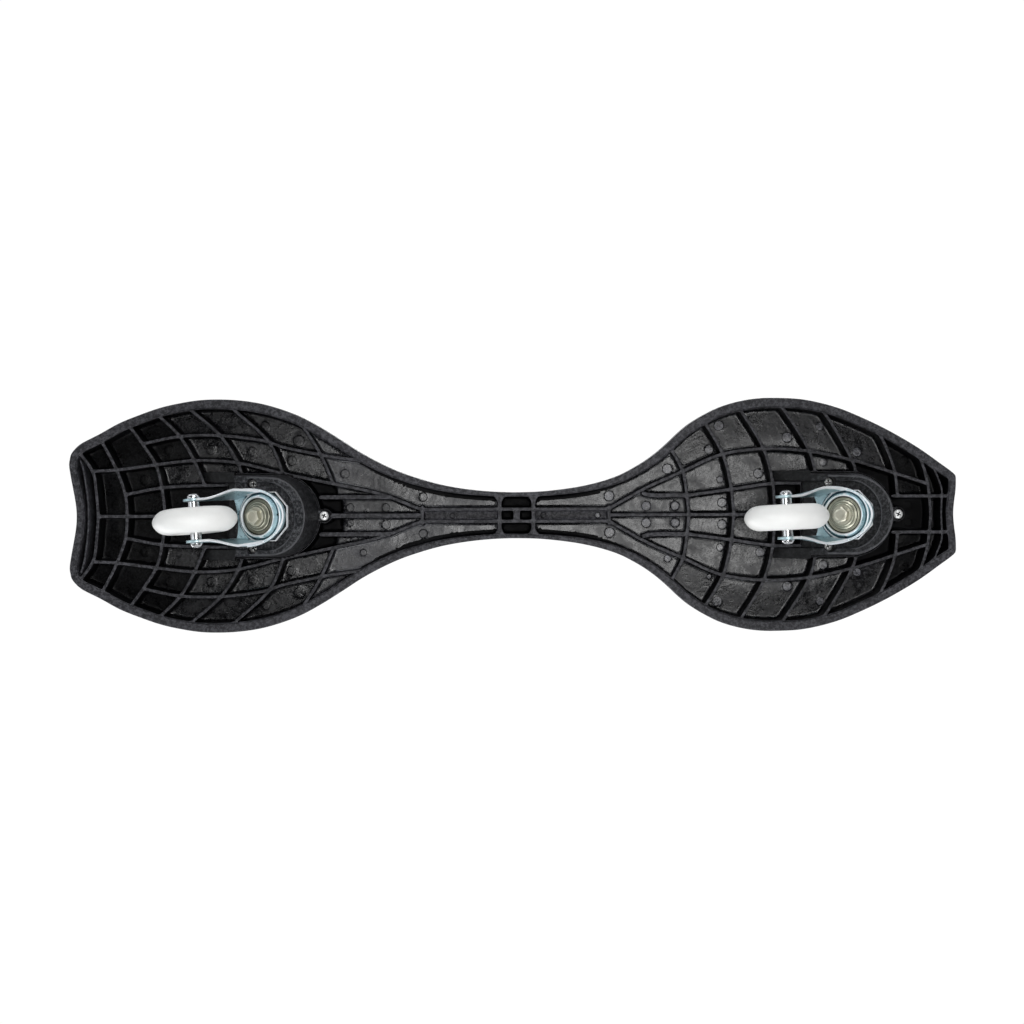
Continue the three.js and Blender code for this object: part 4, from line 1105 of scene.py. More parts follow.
            # painted highlight on the tops of the marks in the front half; the side ring of each mark gets painted
            # shade
            top = MARK_HIGHLIGHT if plain in (FLOOR, NECK_LIT_SHADED, CHANNEL_LIT) and mx > 30 else plain
            before = shell.ring(disc, height(np.array(disc)))
            for k, (rr, part) in enumerate(((r - 0.5, 0.75), (r - 0.8, 1.0), (r * 0.5, 1.0))):
                ring = np.array(circle(mx, my, rr, 28))
                row = shell.ring(ring, height(ring) - proud * part)
                shell.join(before, row, PAINTED_SHADE if k == 0 else top)
                before = row
            e = shell.ring([(mx, my)], height(np.array([[mx, my]])) - proud)[0]
            for i in range(28):
                shell.faces.append([before[i], before[(i + 1) % 28], e])
                shell.mats.append(top)

    # rim lip, outer wall and rounded top edge
    rows = [(lambda x: rim_width(x) - 0.1, 99.0, RIM), (lambda x: rim_width(x) - 0.32, 98.45, RIM), (lambda x: rim_width(x) - 0.6, 98.12, RIM),
            (lambda x: rim_width(x) - 1.0, 98.0, RIM)]
    rows += [(1.5, 98.0, RIM), (0.8, 98.12, RIM), (0.3, 98.5, RIM), (0.05, 99.2, RIM), (0.0, 100.2, RIM), (0.0, 106.0, RIM), (0.0, 112.0, RIM), (0.0, 118.0, RIM),
             (0.0, 122.0, RIM), (0.35, 124.6, RIM), (1.2, 126.7, RIM), (2.6, 128.2, RIM), (4.2, 128.85, RIM), (5.8, 129.0, RIM)]
    before = None
    for d, z, mat in rows:
        row = shell.ring(inset(d), z)
        if before is not None:
            shell.join(before, row, mat)
        before = row

    # top skin with raised traction bars
    top = [[tuple(p) for p in inset(5.8)]]
    bars = []
    for cx in (-258, 232):
        for k in range(-5, 6):
            if abs(k) < 2:
                continue
            x = cx + k * 18
            reach = 82 * math.sqrt(1 - (k / 6.6) ** 2)
            bow = k * 1.6
            line = spline([(x - bow, -reach), (x, -reach / 2), (x + bow * 0.4, 0), (x, reach / 2), (x - bow, reach)], 5.0)
            p, n = relaxed(ccw(strip(line, 4.4)), 0.5, 0.55)
            bars.append((p, n))
            top.append([tuple(q) for q in p])
    gx, gy = np.meshgrid(np.arange(-400, 402, 9.0), np.arange(-99, 100, 9.0))
    grid = np.stack([gx.ravel(), gy.ravel()], axis=1)
    near = contains(top[0], grid) & (distance_to(top[0], grid) > 2.5)
    for p, n in bars:
        near &= ~contains(p, grid) & (distance_to(p, grid) > 1.5)
    tv, tt, tm = triangulate(top, grid[near])
    plain = contains(top[0], tm)
    for p, _ in bars:
        plain &= ~contains(p, tm)
    shell.flat(tv, tt[plain], DECK_TOP, RIM)
    for p, n in bars:
        before = shell.ring(p, DECK_TOP)
        for d, z in ((0.12, 129.45), (0.35, 129.82), (0.7, 130.0)):
            row = shell.ring(pushed(p, n, d), z)
            shell.join(before, row, RIM)
            before = row
        cap = pushed(p, n, 0.7)
        cv, ct, cm = triangulate([cap])
        shell.flat(cv, ct[contains(cap, cm)], TRACTION_TOP, RIM)

    me = bpy.data.meshes.new("deck")
    me.from_pydata(shell.verts, [], shell.faces)
    me.polygons.foreach_set("material_index", shell.mats)
    bm = bmesh.new()
    bm.from_mesh(me)
    bmesh.ops.remove_doubles(bm, verts=bm.verts, dist=0.012)
    bmesh.ops.dissolve_degenerate(bm, edges=bm.edges, dist=0.004)
    bmesh.ops.delete(bm, geom=[e for e in bm.edges if not e.link_faces], context="EDGES")
    bmesh.ops.holes_fill(bm, edges=[e for e in bm.edges if len(e.link_faces) == 1], sides=12)
    loose = [v for v in bm.verts if not v.link_faces]
    bmesh.ops.delete(bm, geom=loose, context="VERTS")
    bmesh.ops.recalc_face_normals(bm, faces=bm.faces)
    bad = sum(1 for e in bm.edges if len(e.link_faces) != 2)
    bm.to_mesh(me)
    bm.free()
    print(f"deck: {len(rings)} rings, {len(me.polygons)} faces, {bad} open edges, marks {int(used.sum())} of {len(MARKS)}")
    print("unused marks", [MARKS[i][:2] for i in range(len(MARKS)) if not used[i]])
    me.transform(Matrix.Diagonal((0.001, 0.001, 0.001, 1)))
    me.materials.append(MAT["moulding"])
    me.materials.append(MAT["floor"])
    me.materials.append(MAT["painted_shade"])
    me.materials.append(MAT["channel"])
    me.materials.append(MAT["neck"])
    me.materials.append(MAT["ends"])
    me.materials.append(MAT["mark_highlight"])
    area_normals(me)
    return new_object("deck_moulding", me)


deck = build_deck()
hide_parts("deck_rear", "deck_front")
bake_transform(deck)


def by_place(o, rule):
    """Picks a material slot for every face from its centre and normal."""
    me = o.data
    n = len(me.polygons)
    c, d = np.empty(n * 3), np.empty(n * 3)
    me.polygons.foreach_get("center", c)
    me.polygons.foreach_get("normal", d)
    while len(me.materials) < 4:
        me.materials.append(MAT["moulding"])
    me.polygons.foreach_set("material_index", rule(c.reshape(-1, 3), d.reshape(-1, 3)).astype(np.int32))
    me.update()
    return o


# ------------------------------------------------------------------ casters
def caster_matrix(ring, yaw):
    m = Matrix(((math.cos(RAKE), 0, math.sin(RAKE), 0), (0, 1, 0, 0), (-math.sin(RAKE), 0, math.cos(RAKE), 0), (0, 0, 0, 1)))
    return Matrix.Translation(ring) @ m @ Matrix.Rotation(yaw, 4, "Z")


def place(o, name, matrix, mats, nodes, body, shading=None):
    """Moves a mesh built in millimetres into the row frame and hooks it up."""
    me = o.data
    me.transform(Matrix.Diagonal((0.001, 0.001, 0.001, 1)) @ matrix)
    me.update()
    looks = np.zeros(len(me.polygons), np.int32)
    me.polygons.foreach_get("material_index", looks)
    me.materials.clear()
    for m in mats if isinstance(mats, (list, tuple)) else [mats]:
        me.materials.append(m)
    if isinstance(mats, (list, tuple)):
        me.polygons.foreach_set("material_index", np.minimum(looks, len(mats) - 1))
    if shading == "area":
        area_normals(me)
    else:
        smooth_by_angle(me, shading or 32)
    o.name = name
    me.name = name
    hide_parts(*nodes)
    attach(o, body)
    return o


def wedge_block(cx, cz, leg_end):
    def level(z, dx, r):
        return [(cx + x, y, z) for x, y in footprint(dx, r, SEAT_BACK, 0, 48)]

    stack = [level(40, 9, 34.0), level(96.4, SEAT_MID - 0.2, SEAT_R - 0.2), level(WEDGE_TOP, SEAT_MID, SEAT_R)]
    n = len(stack[0])
    verts = [v for row in stack for v in row]
    faces = [list(range(n))[::-1], list(range(2 * n, 3 * n))]
    for k in range(2):
        faces += [[k * n + i, k * n + (i + 1) % n, (k + 1) * n + (i + 1) % n, (k + 1) * n + i] for i in range(n)]
    o = new_object("wedge", tidy(new_mesh("wedge", verts, faces)))
    cut(o, rod(LUG_R, WEDGE_TOP - 2.8, WEDGE_TOP, 40, cx + 57.5), "UNION")
    cut(o, box_object(cx + 44, cx + 57.5, -LUG_R, LUG_R, WEDGE_TOP - 2.8, WEDGE_TOP), "UNION")
    for side in (1, -1):        # legs that run back beside the fork
        cut(o, prism(ccw([(cx + leg_end[0], side * 40.8), (cx + leg_end[1], side * 31), (cx + SEAT_BACK + 0.5, side * 31), (cx + SEAT_BACK + 0.5, side * 40.8)]), 60, 109), "UNION")
        cut(o, prism(ccw([(cx + SEAT_BACK - 1, side * 40.8), (cx + SEAT_BACK - 1, side * 31), (cx + SEAT_BACK + 6, side * 31), (cx + SEAT_BACK + 6, side * 40.8)]), 60, WEDGE_TOP), "UNION")
    tilt = caster_matrix((cx, 0, cz), 0)
    low = box_object(-150, 150, -100, 100, -120, 15)
    low.data.transform(tilt)
    cut(o, low)
    hollow = prism(footprint(0, 30.8, -90, 0, 48), 5, 18.0)
    hollow.data.transform(tilt)
    cut(o, hollow)
    for dx, dy, _ in SCREWS:
        if dy:
            cut(o, rod(4.7, 40, WEDGE_TOP - 2.8, 40, cx + dx, dy))
    mod = o.modifiers.new("remesh", "REMESH")
    mod.mode = "VOXEL"
    mod.voxel_size = 0.45
    mod.use_smooth_shade = True
    sm = o.modifiers.new("soften", "SMOOTH")
    sm.factor = 0.5
    sm.iterations = 5
    apply_modifiers(o)
    dec = o.modifiers.new("thin", "DECIMATE")
    dec.ratio = min(1.0, 60000 / max(1, sum(len(p.vertices) - 2 for p in o.data.polygons)))
    apply_modifiers(o)
    back = np.array(tilt.inverted())

    def rule(c, n):
        local = c @ back[:3, :3].T + back[:3, 3]
        nz = n @ back[2, :3]
        r = np.hypot(local[:, 0], local[:, 1])
        z = local[:, 2]
        dx = np.interp(c[:, 2], (40, 96.4), (9, SEAT_MID - 0.2))
        wide = np.interp(c[:, 2], (40, 96.4), (34, SEAT_R - 0.2))
        depth = wide - np.hypot(np.maximum(c[:, 0] - cx - dx, 0), c[:, 1])
        # slot 2 is the lit or shaded copy for the outer slope; slot 3 paints shade in the recess under the plate and at
        # the back of the wedge
        look = np.where((c[:, 0] > cx + 8) & (depth < 1.2) & (nz > -0.5), 2, 0)
        flat = (nz < -0.35) & (z < 16.6) & (local[:, 0] > -20)
        look[((r < 29.8) & (z < 17.2) & (c[:, 0] > cx - 30)) | ((c[:, 0] < cx - 24) & (nz < 0.5))] = 3
        # painted highlight along the wedge's outer edge and its inner ridge (slot 1)
        look[flat & (depth < 2.0) & (depth > -1)] = 1
        look[flat & (r > 30.0) & (r < 32.3) & (np.abs(c[:, 1]) < 31.5)] = 1
        return look

    return by_place(o, rule)


def pan_screw():
    seat = WEDGE_TOP - 3.1
    head = turned([(0, seat - 2.6), (2.2, seat - 2.5), (3.5, seat - 2.0), (4.2, seat - 0.9), (4.2, seat), (2.0, seat), (2.0, 111), (0, 112)], 0.18, 40)
    cross = join([box_object(-2.3, 2.3, -0.5, 0.5, seat - 4, seat - 1.4)], "cross")
    cut(head, cross)
    cut(head, box_object(-0.5, 0.5, -2.3, 2.3, seat - 4, seat - 1.4))
    bevel(head, 0.1, 1, 40)
    # painted shade in the cross recess (slot 1)
    return by_place(head, lambda c, n: np.where((c[:, 2] < seat) & (np.maximum(np.abs(c[:, 0]), np.abs(c[:, 1])) < 2.5)
                                                & (np.minimum(np.abs(c[:, 0]), np.abs(c[:, 1])) < 0.62) & (c[:, 2] > seat - 2.35), 1, 0))


HEAD = [
    (27.7, 0), (27.1, 4.2), (25.4, 8.6), (22.5, 12.7), (18.6, 16.3), (14, 19.5), (9.3, 22.0), (4, 24.0), (-2, 25.5), (-8, 26.4), (-15, 26.9), (-22.5, 26.9), (-25, 24.0),
]


def head_outline(grow=0.0):
    """Outline of the fork's head, moved in by a distance."""
    half = spline([(HEAD[1][0], -HEAD[1][1])] + HEAD[:-2], 1.2)
    half = [p for p in half if p[1] > 0.3]
    half.insert(0, HEAD[0])
    web = [(-28.0, 26.0), (-31.8, 24.4), (-32.2, 21.4), (-29.9, 17.6), (-28.2, 13.0), (-27.3, 7.0), (-27.0, 0.0)]
    loop = [(x, -y) for x, y in half[1:]][::-1] + half + [(-22.5, 26.9)] + web + [(x, -y) for x, y in web[:-1]][::-1] + [(-22.5, -26.9)]
    loop = ccw(loop)
    if not grow:
        return loop
    n = inward(loop)
    return [(x + nx * grow, y + ny * grow) for (x, y), (nx, ny) in zip(loop, n)]


def fork_arm(side):
    E = np.array([-TRAIL, -DROP])
    d = E - np.array([-8.0, 6.0])
    d /= np.linalg.norm(d)
    nrm = np.array([-d[1], d[0]])
    R = 9.3
    a1, b1 = E + nrm * R, E - nrm * R
    a0, b0 = np.array([5.0, 6.6]), np.array([-30.6, 6.6])
    am, bmid = np.array([-7.5, -22.0]), np.array([-36.0, -12.0])

    def bez(p, q, r, t):
        return (1 - t) ** 2 * p + 2 * t * (1 - t) * q + t * t * r

    edge_x = [x for x, _ in HEAD[:-2]][::-1]
    edge_y = [y for _, y in HEAD[:-2]][::-1]
    st = []
    for i in range(29):
        t = i / 28
        s = min(1, max(0, (t - 0.40) / 0.52))
        ease = s * s * (3 - 2 * s)
        a = bez(a0, am, a1, t)
        st.append((a, bez(b0, bmid, b1, t), min(24.5 + (17.5 - 24.5) * ease, float(np.interp(a[0], edge_x, edge_y)) - 2.2)))
    for k in range(1, 12):
        b = math.radians(82 * k / 11)
        st.append((E + nrm * R * math.cos(b) + d * R * math.sin(b), E - nrm * R * math.cos(b) + d * R * math.sin(b), 17.5))
    verts = []
    for a, b, y in st:          # the lower edge flares out to the head, the upper one stays close to the wheel
        verts += [(a[0], side * y, a[1]), (b[0], side * 17.5, b[1]), (b[0], side * 19.7, b[1]), (a[0], side * (y + 2.2), a[1])]
    faces = []
    for k in range(len(st) - 1):
        for i in range(4):
            p, q = k * 4 + i, k * 4 + (i + 1) % 4
            faces.append([p, q, q + 4, p + 4])
    l = (len(st) - 1) * 4
    faces += [[0, 1, 2, 3], [l, l + 1, l + 2, l + 3]]
    o = new_object("arm", tidy(new_mesh("arm", verts, faces)))
    hole = rod(4.15, -40, 40, 40)
    hole.data.transform(Matrix.Translation((E[0], 0, E[1])) @ Matrix.Rotation(math.pi / 2, 4, "X"))
    return cut(o, hole)


def fork_body():
    """Pressed head with its rings and turned-down lip, and two arms."""
    inner = turned([(9.0, 5.2), (15.8, 5.2), (16.6, 4.4), (17.0, 1.2), (17.5, 0.2), (18.2, 0.0), (18.9, 0.2), (19.4, 1.2), (19.8, 3.9), (20.5, 4.6), (20.5, 7.9), (9.0, 7.9)], 0.3, 96)
    ridge = turned([(20.4, 5.5), (21.0, 5.3), (21.6, 4.1), (22.3, 3.8), (23.0, 4.2), (23.5, 5.4), (23.5, 7.4), (20.4, 7.4)], 0.2, 120)
    plate = prism(head_outline(1.1), 5.3, 7.9)
    cut(plate, rod(10.5, 0, 20, 64))
    lip = prism(head_outline(), 2.9, 6.4)
    cut(lip, prism(head_outline(2.1), 2, 7.2))
    cut(lip, box_object(-16, 60, -60, 60, -20, 30), "INTERSECT")
    whole = join([inner, ridge, plate, lip, fork_arm(1), fork_arm(-1)], "fork")
    mod = whole.modifiers.new("remesh", "REMESH")
    mod.mode = "VOXEL"
    mod.voxel_size = 0.3
    mod.use_smooth_shade = True
    sm = whole.modifiers.new("soften", "SMOOTH")
    sm.factor = 0.5
    sm.iterations = 2
    apply_modifiers(whole)
    dec = whole.modifiers.new("thin", "DECIMATE")
    dec.ratio = min(1.0, 60000 / max(1, sum(len(p.vertices) - 2 for p in whole.data.polygons)))
    apply_modifiers(whole)
    loop = np.array(head_outline())
    E = np.array([-TRAIL, -DROP])
    d = E - np.array([-8.0, 6.0])
    d /= np.linalg.norm(d)
    a0, am, a1 = np.array([5.0, 6.6]), np.array([-7.5, -22.0]), E + np.array([-d[1], d[0]]) * 9.3
    t = np.linspace(0, 1, 60)[:, None]
    near_edge = (1 - t) ** 2 * a0 + 2 * t * (1 - t) * am + t * t * a1

    def rule(c, n):
        look = np.zeros(len(c), int)
        r = np.hypot(c[:, 0], c[:, 1])
        z = c[:, 2]
        gap = distance_to(loop, c[:, :2])
        head = (z > -0.6) & (z < 8.2)
        # painted shade in the grooves beside the rings and in a crescent on the left of the head (slot 2)
        look[head & (r > 20.0) & (r < 21.3) & (z > 3.0)] = 2
        look[head & (c[:, 0] < 2) & (r > 20.0) & (r < 21.9) & (z > 2.0)] = 2
        look[head & (c[:, 0] < -4) & (r > 22.9) & (r < 24.3) & (z > 3.6)] = 2
        # painted highlight on the edges of the rings and the lip (slot 1)
        look[head & (r > 16.9) & (r < 18.5) & (z < 2.0)] = 1
        look[head & (r > 21.7) & (r < 23.0) & (z < 4.6)] = 1
        look[head & (r > 23.5) & (r < 24.6) & (z > 4.4)] = 2
        look[head & (gap < 2.1) & (z < 4.0) & (r > 23.4)] = 1
        # painted highlight along the outer edges of the arms
        arm = (np.abs(c[:, 1]) > 16.5) & (z < 3.5)
        far = np.min(np.hypot(c[:, 0][:, None] - near_edge[None, :, 0], z[:, None] - near_edge[None, :, 1]), axis=1)
        look[arm & (far < 1.0)] = 1
        return look

    return by_place(whole, rule)


def hex_points(flats, turn=0.0):
    r = flats / 2 / math.cos(math.pi / 6)
    return [(r * math.cos(turn + k * math.pi / 3), r * math.sin(turn + k * math.pi / 3)) for k in range(6)]


def kingpin_bolt():
    head = prism(hex_points(13.0), -8.3, -3.0)
    cone = turned([(0, -8.25), (5.4, -8.25), (5.9, -8.1), (7.9, -6.9), (7.9, -2.9), (0, -2.9)], 0.0, 72)
    cut(head, cone, "INTERSECT")
    dish = turned([(0, -12), (4.6, -12), (4.4, -8.0), (4.0, -7.75), (0, -7.7)], 0.0, 48)
    cut(head, dish)
    shank = turned([(0, -4), (3.85, -4), (3.85, 33.6), (3.0, 34.6), (0, 34.6)], 0.0, 32)
    cut(head, shank, "UNION")
    bevel(head, 0.22, 2, 30)
    bm = bmesh.new()
    bm.from_mesh(head.data)
    bmesh.ops.remove_doubles(bm, verts=bm.verts, dist=0.004)
    bmesh.ops.dissolve_degenerate(bm, edges=bm.edges, dist=0.002)
    bm.to_mesh(head.data)
    bm.free()
    return head


def octagon_plate():
    r = 22.6 / math.cos(math.pi / 8)
    pts = [(r * math.cos(math.pi / 8 + k * math.pi / 4), r * math.sin(math.pi / 8 + k * math.pi / 4)) for k in range(8)]
    o = prism(pts, 15.2, 17.7)
    cut(o, rod(4.15, 10, 25, 32))
    bevel(o, 0.85, 2, 35)
    # painted highlight on the bevelled edges (slot 1)
    return by_place(o, lambda c, n: np.where((np.abs(n[:, 2]) < 0.985) & (c[:, 2] < 17.2) & (np.hypot(c[:, 0], c[:, 1]) > 12), 1, 0))


def about_axle(o):
    o.data.transform(Matrix.Translation((-TRAIL, 0, -DROP)))
    return o


def wheel_parts():
    half = spline([(22.3, 11.5), (25, 11.35), (27.8, 10.9), (30.5, 10.0), (33, 8.5), (35, 6.6), (36.7, 4.3), (37.7, 2.2), (38, 0), (37.7, -2.2)], 0.7)
    half = [p for p in half if p[1] > 0.2] + [(38, 0.0)]
    prof = half + [(r, -y) for r, y in half[:-1][::-1]]
    out = {"tyre": turned(prof, 0.0, 128, "y")}
    hub = turned([(8.6, -3.1), (11.2, -3.1), (11.2, -10.3), (13.4, -10.3), (14.0, -4.9), (19.0, -4.9), (19.6, -10.3), (22, -10.3),
                  (22, 10.3), (19.6, 10.3), (19.0, 4.9), (14.0, 4.9), (13.4, 10.3), (11.2, 10.3), (11.2, 3.1), (8.6, 3.1)], 0.35, 96, "y")
    for k in range(6):
        web = box_object(13.0, 20.2, -1.1, 1.1, -9.4, 9.4)
        web.data.transform(Matrix.Rotation(math.pi / 2, 4, "X"))
        web.data.transform(Matrix.Rotation(k * math.pi / 3, 4, "Y"))
        cut(hub, web, "UNION")
    out["hub"] = hub
    for s, side in ((1, "left"), (-1, "right")):
        out[f"bearing_{side}"] = turned([(4.15, s * 3.4), (10.9, s * 3.4), (10.9, s * 10.1), (9.2, s * 10.1), (9.0, s * 9.6), (6.4, s * 9.6), (6.2, s * 10.1), (4.15, s * 10.1)], 0.15, 72, "y")
        out[f"spacer_{side}"] = turned([(4.15, s * 10.4), (5.2, s * 10.4), (5.2, s * 17.2), (4.15, s * 17.2)], 0.25, 48, "y")
    seat = 20.0
    bolt = turned([(0, -23.0), (3.4, -23.0), (3.85, -22.5), (3.85, seat), (5.9, seat), (5.95, seat + 0.9), (5.5, seat + 2.4), (4.4, seat + 3.6), (2.9, seat + 4.3), (0, seat + 4.5)], 0.15, 56, "y")
    socket = prism(hex_points(4.4), 0, 3.2)
    socket.data.transform(Matrix.Translation((0, seat + 5.4, 0)) @ Matrix.Rotation(math.pi / 2, 4, "X"))
    cut(bolt, socket)
    bevel(bolt, 0.12, 1, 40)
    out["axle_bolt"] = bolt
    nut = turned([(0, -seat - 4.5), (2.9, -seat - 4.3), (4.4, -seat - 3.6), (5.5, -seat - 2.4), (5.95, -seat - 0.9), (5.9, -seat), (4.15, -seat), (4.15, -seat - 3.3), (0, -seat - 3.3)], 0.15, 56, "y")
    out["axle_nut"] = nut
    for o in out.values():
        about_axle(o)
    return out


fork_mesh = fork_body()
for where, ring in RINGS.items():
    still = caster_matrix(ring, 0)
    moved = caster_matrix(ring, YAWS[where])
    base, fork_set, wheel_set = f"{where}_deck_half", f"{where}_fork_set", f"{where}_wheel"
    none = Matrix.Identity(4)

    place(wedge_block(ring[0], ring[2], (-56.5, -52.6) if where == "rear" else (-57.0, -56.6)), f"{where}_wedge_block", none,
          [MAT[f"wedge_{where}"], MAT["wedge_edge_highlight"], MAT[f"wedge_slope_{where}"], MAT["wedge_painted_shade"]], [f"{where}_wedge"], base, 38)
    for dx, dy, side in SCREWS:
        place(pan_screw(), f"{where}_pan_screw_{side}", Matrix.Translation((ring[0] + dx, dy, 0)) @ Matrix.Rotation(0.5 + dx * 0.3 + dy, 4, "Z"),
              [MAT["screw"], MAT["painted_shade"]], [f"{where}_wedge_screw_{side}"], base, 35)
    place(octagon_plate(), f"{where}_octagon_plate", still, [MAT["plate_dark"], MAT["zinc_highlight"]], [f"{where}_base_plate"], base, 30)
    # painted shade on the skirt of the upper race
    place(turned([(14.5, 13.7), (20.9, 13.7), (20.9, 9.6), (22.1, 9.6), (22.1, 14.9), (14.5, 14.9)], 0.25, 96), f"{where}_race_skirt", still,
          MAT["plate_dark"], [f"{where}_upper_race"], base, "area")
    cup = turned([(4.15, -1.1), (9.9, -1.1), (10.5, -0.7), (11.3, 0.7), (12.4, 1.1), (13.0, 1.5), (13.4, 2.5), (14.4, 2.8), (15.6, 2.6), (16.4, 1.9), (16.9, 1.7), (16.9, 4.6), (4.15, 4.6)], 0.3, 96)

    def cup_rule(c, n):
        r = np.hypot(c[:, 0], c[:, 1])
        look = np.zeros(len(c), int)
        # painted highlight (1) and painted shade (2) in bands on the steps of the cup
        for lo, hi, k in ((9.0, 9.9, 1), (9.9, 10.45, 2), (10.9, 11.5, 1), (12.6, 13.0, 2), (13.0, 13.6, 1), (16.0, 17.0, 1)):
            look[(r > lo) & (r < hi)] = k
        return look

    # the front cup gets the lighter copy as painted light
    place(by_place(cup, cup_rule), f"{where}_stepped_cup", still, [MAT["passivated" if where == "rear" else "passivated_front_lit"], MAT["passivated_shade"], MAT["passivated_highlight"]],
          [f"{where}_cup_washer"], base, "area")
    place(turned([(4.15, -2.7), (8.8, -2.7), (8.8, -1.4), (4.15, -1.4)], 0.3, 72), f"{where}_pin_washer", still, MAT["pin"],
          [f"{where}_kingpin_washer"], base, "area")
    pin = kingpin_bolt()
    # painted shade: the sides of the hex head get the darker passivated colour
    by_place(pin, lambda c, n: np.where((np.hypot(c[:, 0], c[:, 1]) > 6.0) & (n[:, 2] > -0.8), 1, 0))
    pin.data.transform(Matrix.Rotation(math.radians(17 if where == "rear" else 41), 4, "Z"))
    place(pin, f"{where}_pin_bolt", still, [MAT["pin"], MAT["passivated"]], [f"{where}_kingpin"], base, 28)
    fork = fork_mesh if where == "front" else new_object("fork", fork_mesh.data.copy())
    before = np.zeros(len(fork.data.polygons), np.int32)
    fork.data.polygons.foreach_get("material_index", before)

    def dimples(c, n):          # small punch marks beside the inner ring, drawn only as painted shade dots
        look = before.astype(int)
        for a in ((0, -125) if where == "rear" else (90,)):
            x, y = 20.4 * math.cos(math.radians(a)), 20.4 * math.sin(math.radians(a))
            look[(np.hypot(c[:, 0] - x, c[:, 1] - y) < 0.95) & (c[:, 2] < 6) & (c[:, 2] > -1)] = 3
        return look

    place(by_place(fork, dimples), f"{where}_pressed_fork", moved, [MAT["zinc"], MAT["zinc_highlight"], MAT["zinc_shade"], MAT["painted_shade"]],
          [f"{where}_fork"], fork_set, 50)

    parts = wheel_parts()
    looks = {"tyre": ("urethane", "urethane", wheel_set, "area"), "hub": ("core", "core", wheel_set, 35),
             "bearing_left": ("race", "race", wheel_set, "area"), "bearing_right": ("race", "race", wheel_set, "area"),
             "spacer_left": ("steel", "steel", fork_set, "area"), "spacer_right": ("steel", "steel", fork_set, "area"),
             "axle_bolt": ("steel", "steel", fork_set, 35), "axle_nut": ("steel", "steel", fork_set, "area")}
    for name, (mat, slot_name, body, shade) in looks.items():
        place(parts[name], f"{where}_{name}_v", moved, MAT[mat], [f"{where}_{name}"], body, shade)

# pieces that keep their frame shape and get a finished material
for where in RINGS:
    for name, mat in (("ball_ring", "race"), ("swivel_bush", "race"), ("kingpin_nut", "passivated"), ("bearing_sleeve", "steel")):
        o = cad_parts[f"{where}_{name}"]
        if not o.material_slots:
            o.data.materials.append(None)
        for s in o.material_slots:
            s.link = "OBJECT"
            s.material = MAT[mat]

# ------------------------------------------------------------------ stage
bpy.ops.mesh.primitive_plane_add(size=8, location=(0, 0, 0))
ground = bpy.context.object
ground.name = "studio_floor"
g, gt, gp = tree("studio_floor")
cloud = noise(gt, coords(gt), 0.004, 3, 0.5)
gt.links.new(mix_colour(gt, span(gt, cloud, 0, 1), (0.80, 0.80, 0.80), (0.84, 0.84, 0.84)), gp.inputs["Base Color"])
gp.inputs["Roughness"].default_value = 0.6
clear = gt.nodes.new("ShaderNodeBsdfTransparent")
side = gt.nodes.new("ShaderNodeNewGeometry")
either = gt.nodes.new("ShaderNodeMixShader")
gt.links.new(side.outputs["Backfacing"], either.inputs[0])
gt.links.new(gp.outputs[0], either.inputs[1])
gt.links.new(clear.outputs[0], either.inputs[2])
gt.links.new(either.outputs[0], [n for n in gt.nodes if n.type == "OUTPUT_MATERIAL"][0].inputs[0])
ground.data.materials.append(g)
ground.visible_diffuse = False
ground.visible_glossy = False
ground.visible_transmission = False
ground.visible_shadow = False

world = bpy.data.worlds.new("studio")
bpy.context.scene.world = world
world.use_nodes = True
wt = world.node_tree
wt.nodes.clear()
wout = wt.nodes.new("ShaderNodeOutputWorld")
lit = wt.nodes.new("ShaderNodeBackground")
seen = wt.nodes.new("ShaderNodeBackground")
seen.inputs[0].default_value = (1, 1, 1, 1)
seen.inputs[1].default_value = 1.02
lit.inputs[1].default_value = 1.0
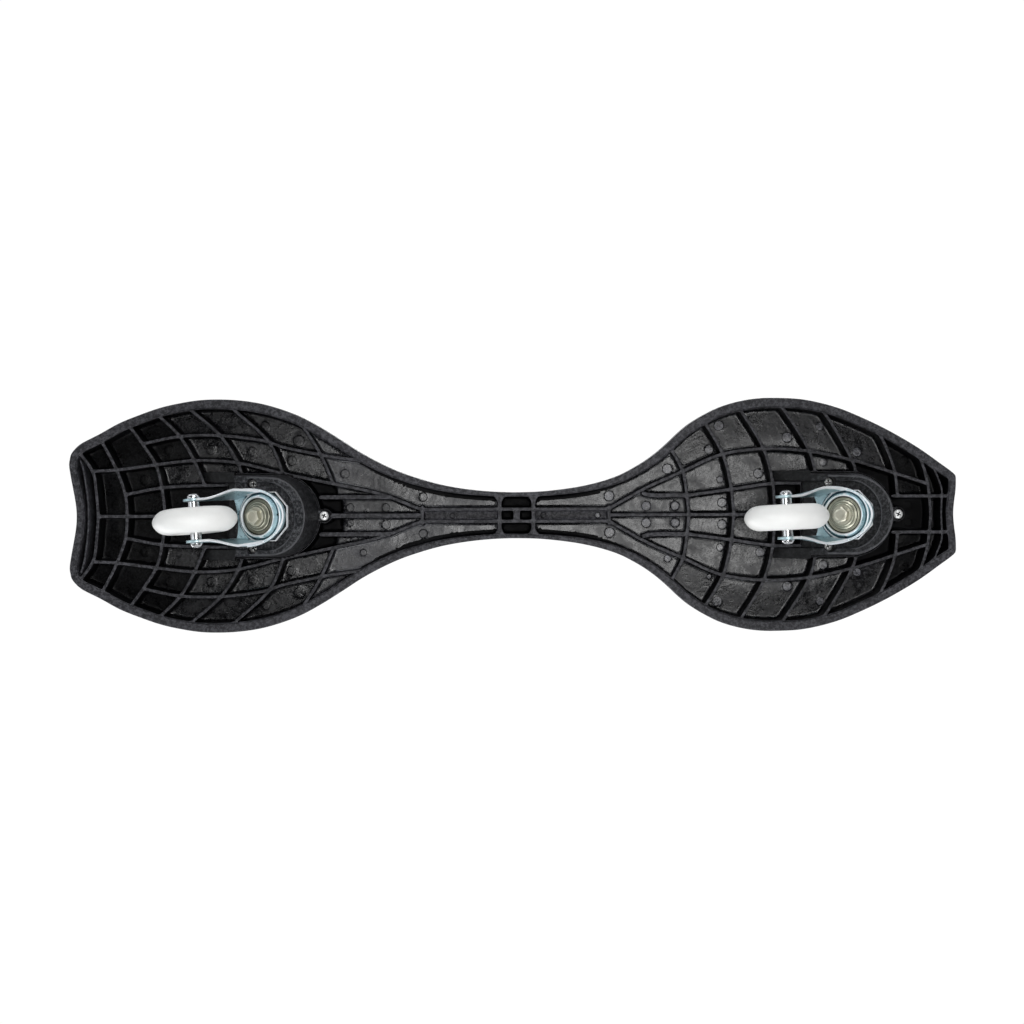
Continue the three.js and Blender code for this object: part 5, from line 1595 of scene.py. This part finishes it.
# dim studio under the board, white sweep around and above it
way = wt.nodes.new("ShaderNodeTexCoord")
split = wt.nodes.new("ShaderNodeSeparateXYZ")
wt.links.new(way.outputs["Generated"], split.inputs[0])
ramp = node(wt, "ShaderNodeMapRange", {"Value": split.outputs["Z"]})
for socket, value in (("From Min", -0.35), ("From Max", 0.25), ("To Min", 0.0), ("To Max", 1.0)):
    ramp.inputs[socket].default_value = value
wt.links.new(mix_colour(wt, ramp.outputs[0], (0.050, 0.052, 0.056), (0.70, 0.72, 0.75)), lit.inputs[0])
path = wt.nodes.new("ShaderNodeLightPath")
pick = wt.nodes.new("ShaderNodeMixShader")
wt.links.new(path.outputs["Is Camera Ray"], pick.inputs[0])
wt.links.new(lit.outputs[0], pick.inputs[1])
wt.links.new(seen.outputs[0], pick.inputs[2])
wt.links.new(pick.outputs[0], wout.inputs[0])


def soft_light(name, where, aim, size, power, colour=(1, 1, 1)):
    data = bpy.data.lights.new(name, "AREA")
    data.shape = "RECTANGLE"
    data.size, data.size_y = size
    data.energy = power
    data.color = colour
    o = bpy.data.objects.new(name, data)
    bpy.context.scene.collection.objects.link(o)
    o.location = where
    o.rotation_mode = "QUATERNION"
    o.rotation_quaternion = (Vector(aim) - Vector(where)).to_track_quat("-Z", "Y")
    o.visible_camera = False
    return o


soft_light("under_key", (0.15, 0.0, -2.0), (0.12, 0.0, 0.1), (0.80, 0.8), 12.8, (1.0, 1.0, 1.0))
soft_light("under_left", (0.1, 1.7, -1.25), (0, 0, 0.08), (1.9, 0.8), 30, (0.96, 0.98, 1.0))
soft_light("under_right", (0.1, -1.7, -1.25), (0, 0, 0.08), (1.9, 0.8), 22, (0.96, 0.98, 1.0))
soft_light("under_tail", (-2.0, 0.0, -1.1), (0, 0, 0.08), (1.6, 1.4), 9, (0.93, 0.97, 1.0))
soft_light("top_key", (0.6, -1.2, 1.9), (0, 0, 0.1), (1.4, 1.2), 60)
soft_light("top_fill", (-1.4, 1.0, 1.5), (0, 0, 0.1), (1.4, 1.2), 26)

camera_data = bpy.data.cameras.new("camera")
camera = bpy.data.objects.new("camera", camera_data)
bpy.context.scene.collection.objects.link(camera)
camera.location = (-0.0005, -0.0230, -1.809)
camera.rotation_euler = (math.pi - 0.01049, 0, math.radians(0.182))
camera_data.lens = 72.4
camera_data.sensor_width = 36
camera_data.clip_end = 50
bpy.context.scene.camera = camera

bpy.context.scene.view_settings.view_transform = "Standard"
bpy.context.scene.view_settings.look = "None"
bpy.context.scene.view_settings.exposure = 0.0
bpy.context.scene.view_settings.gamma = 1.0
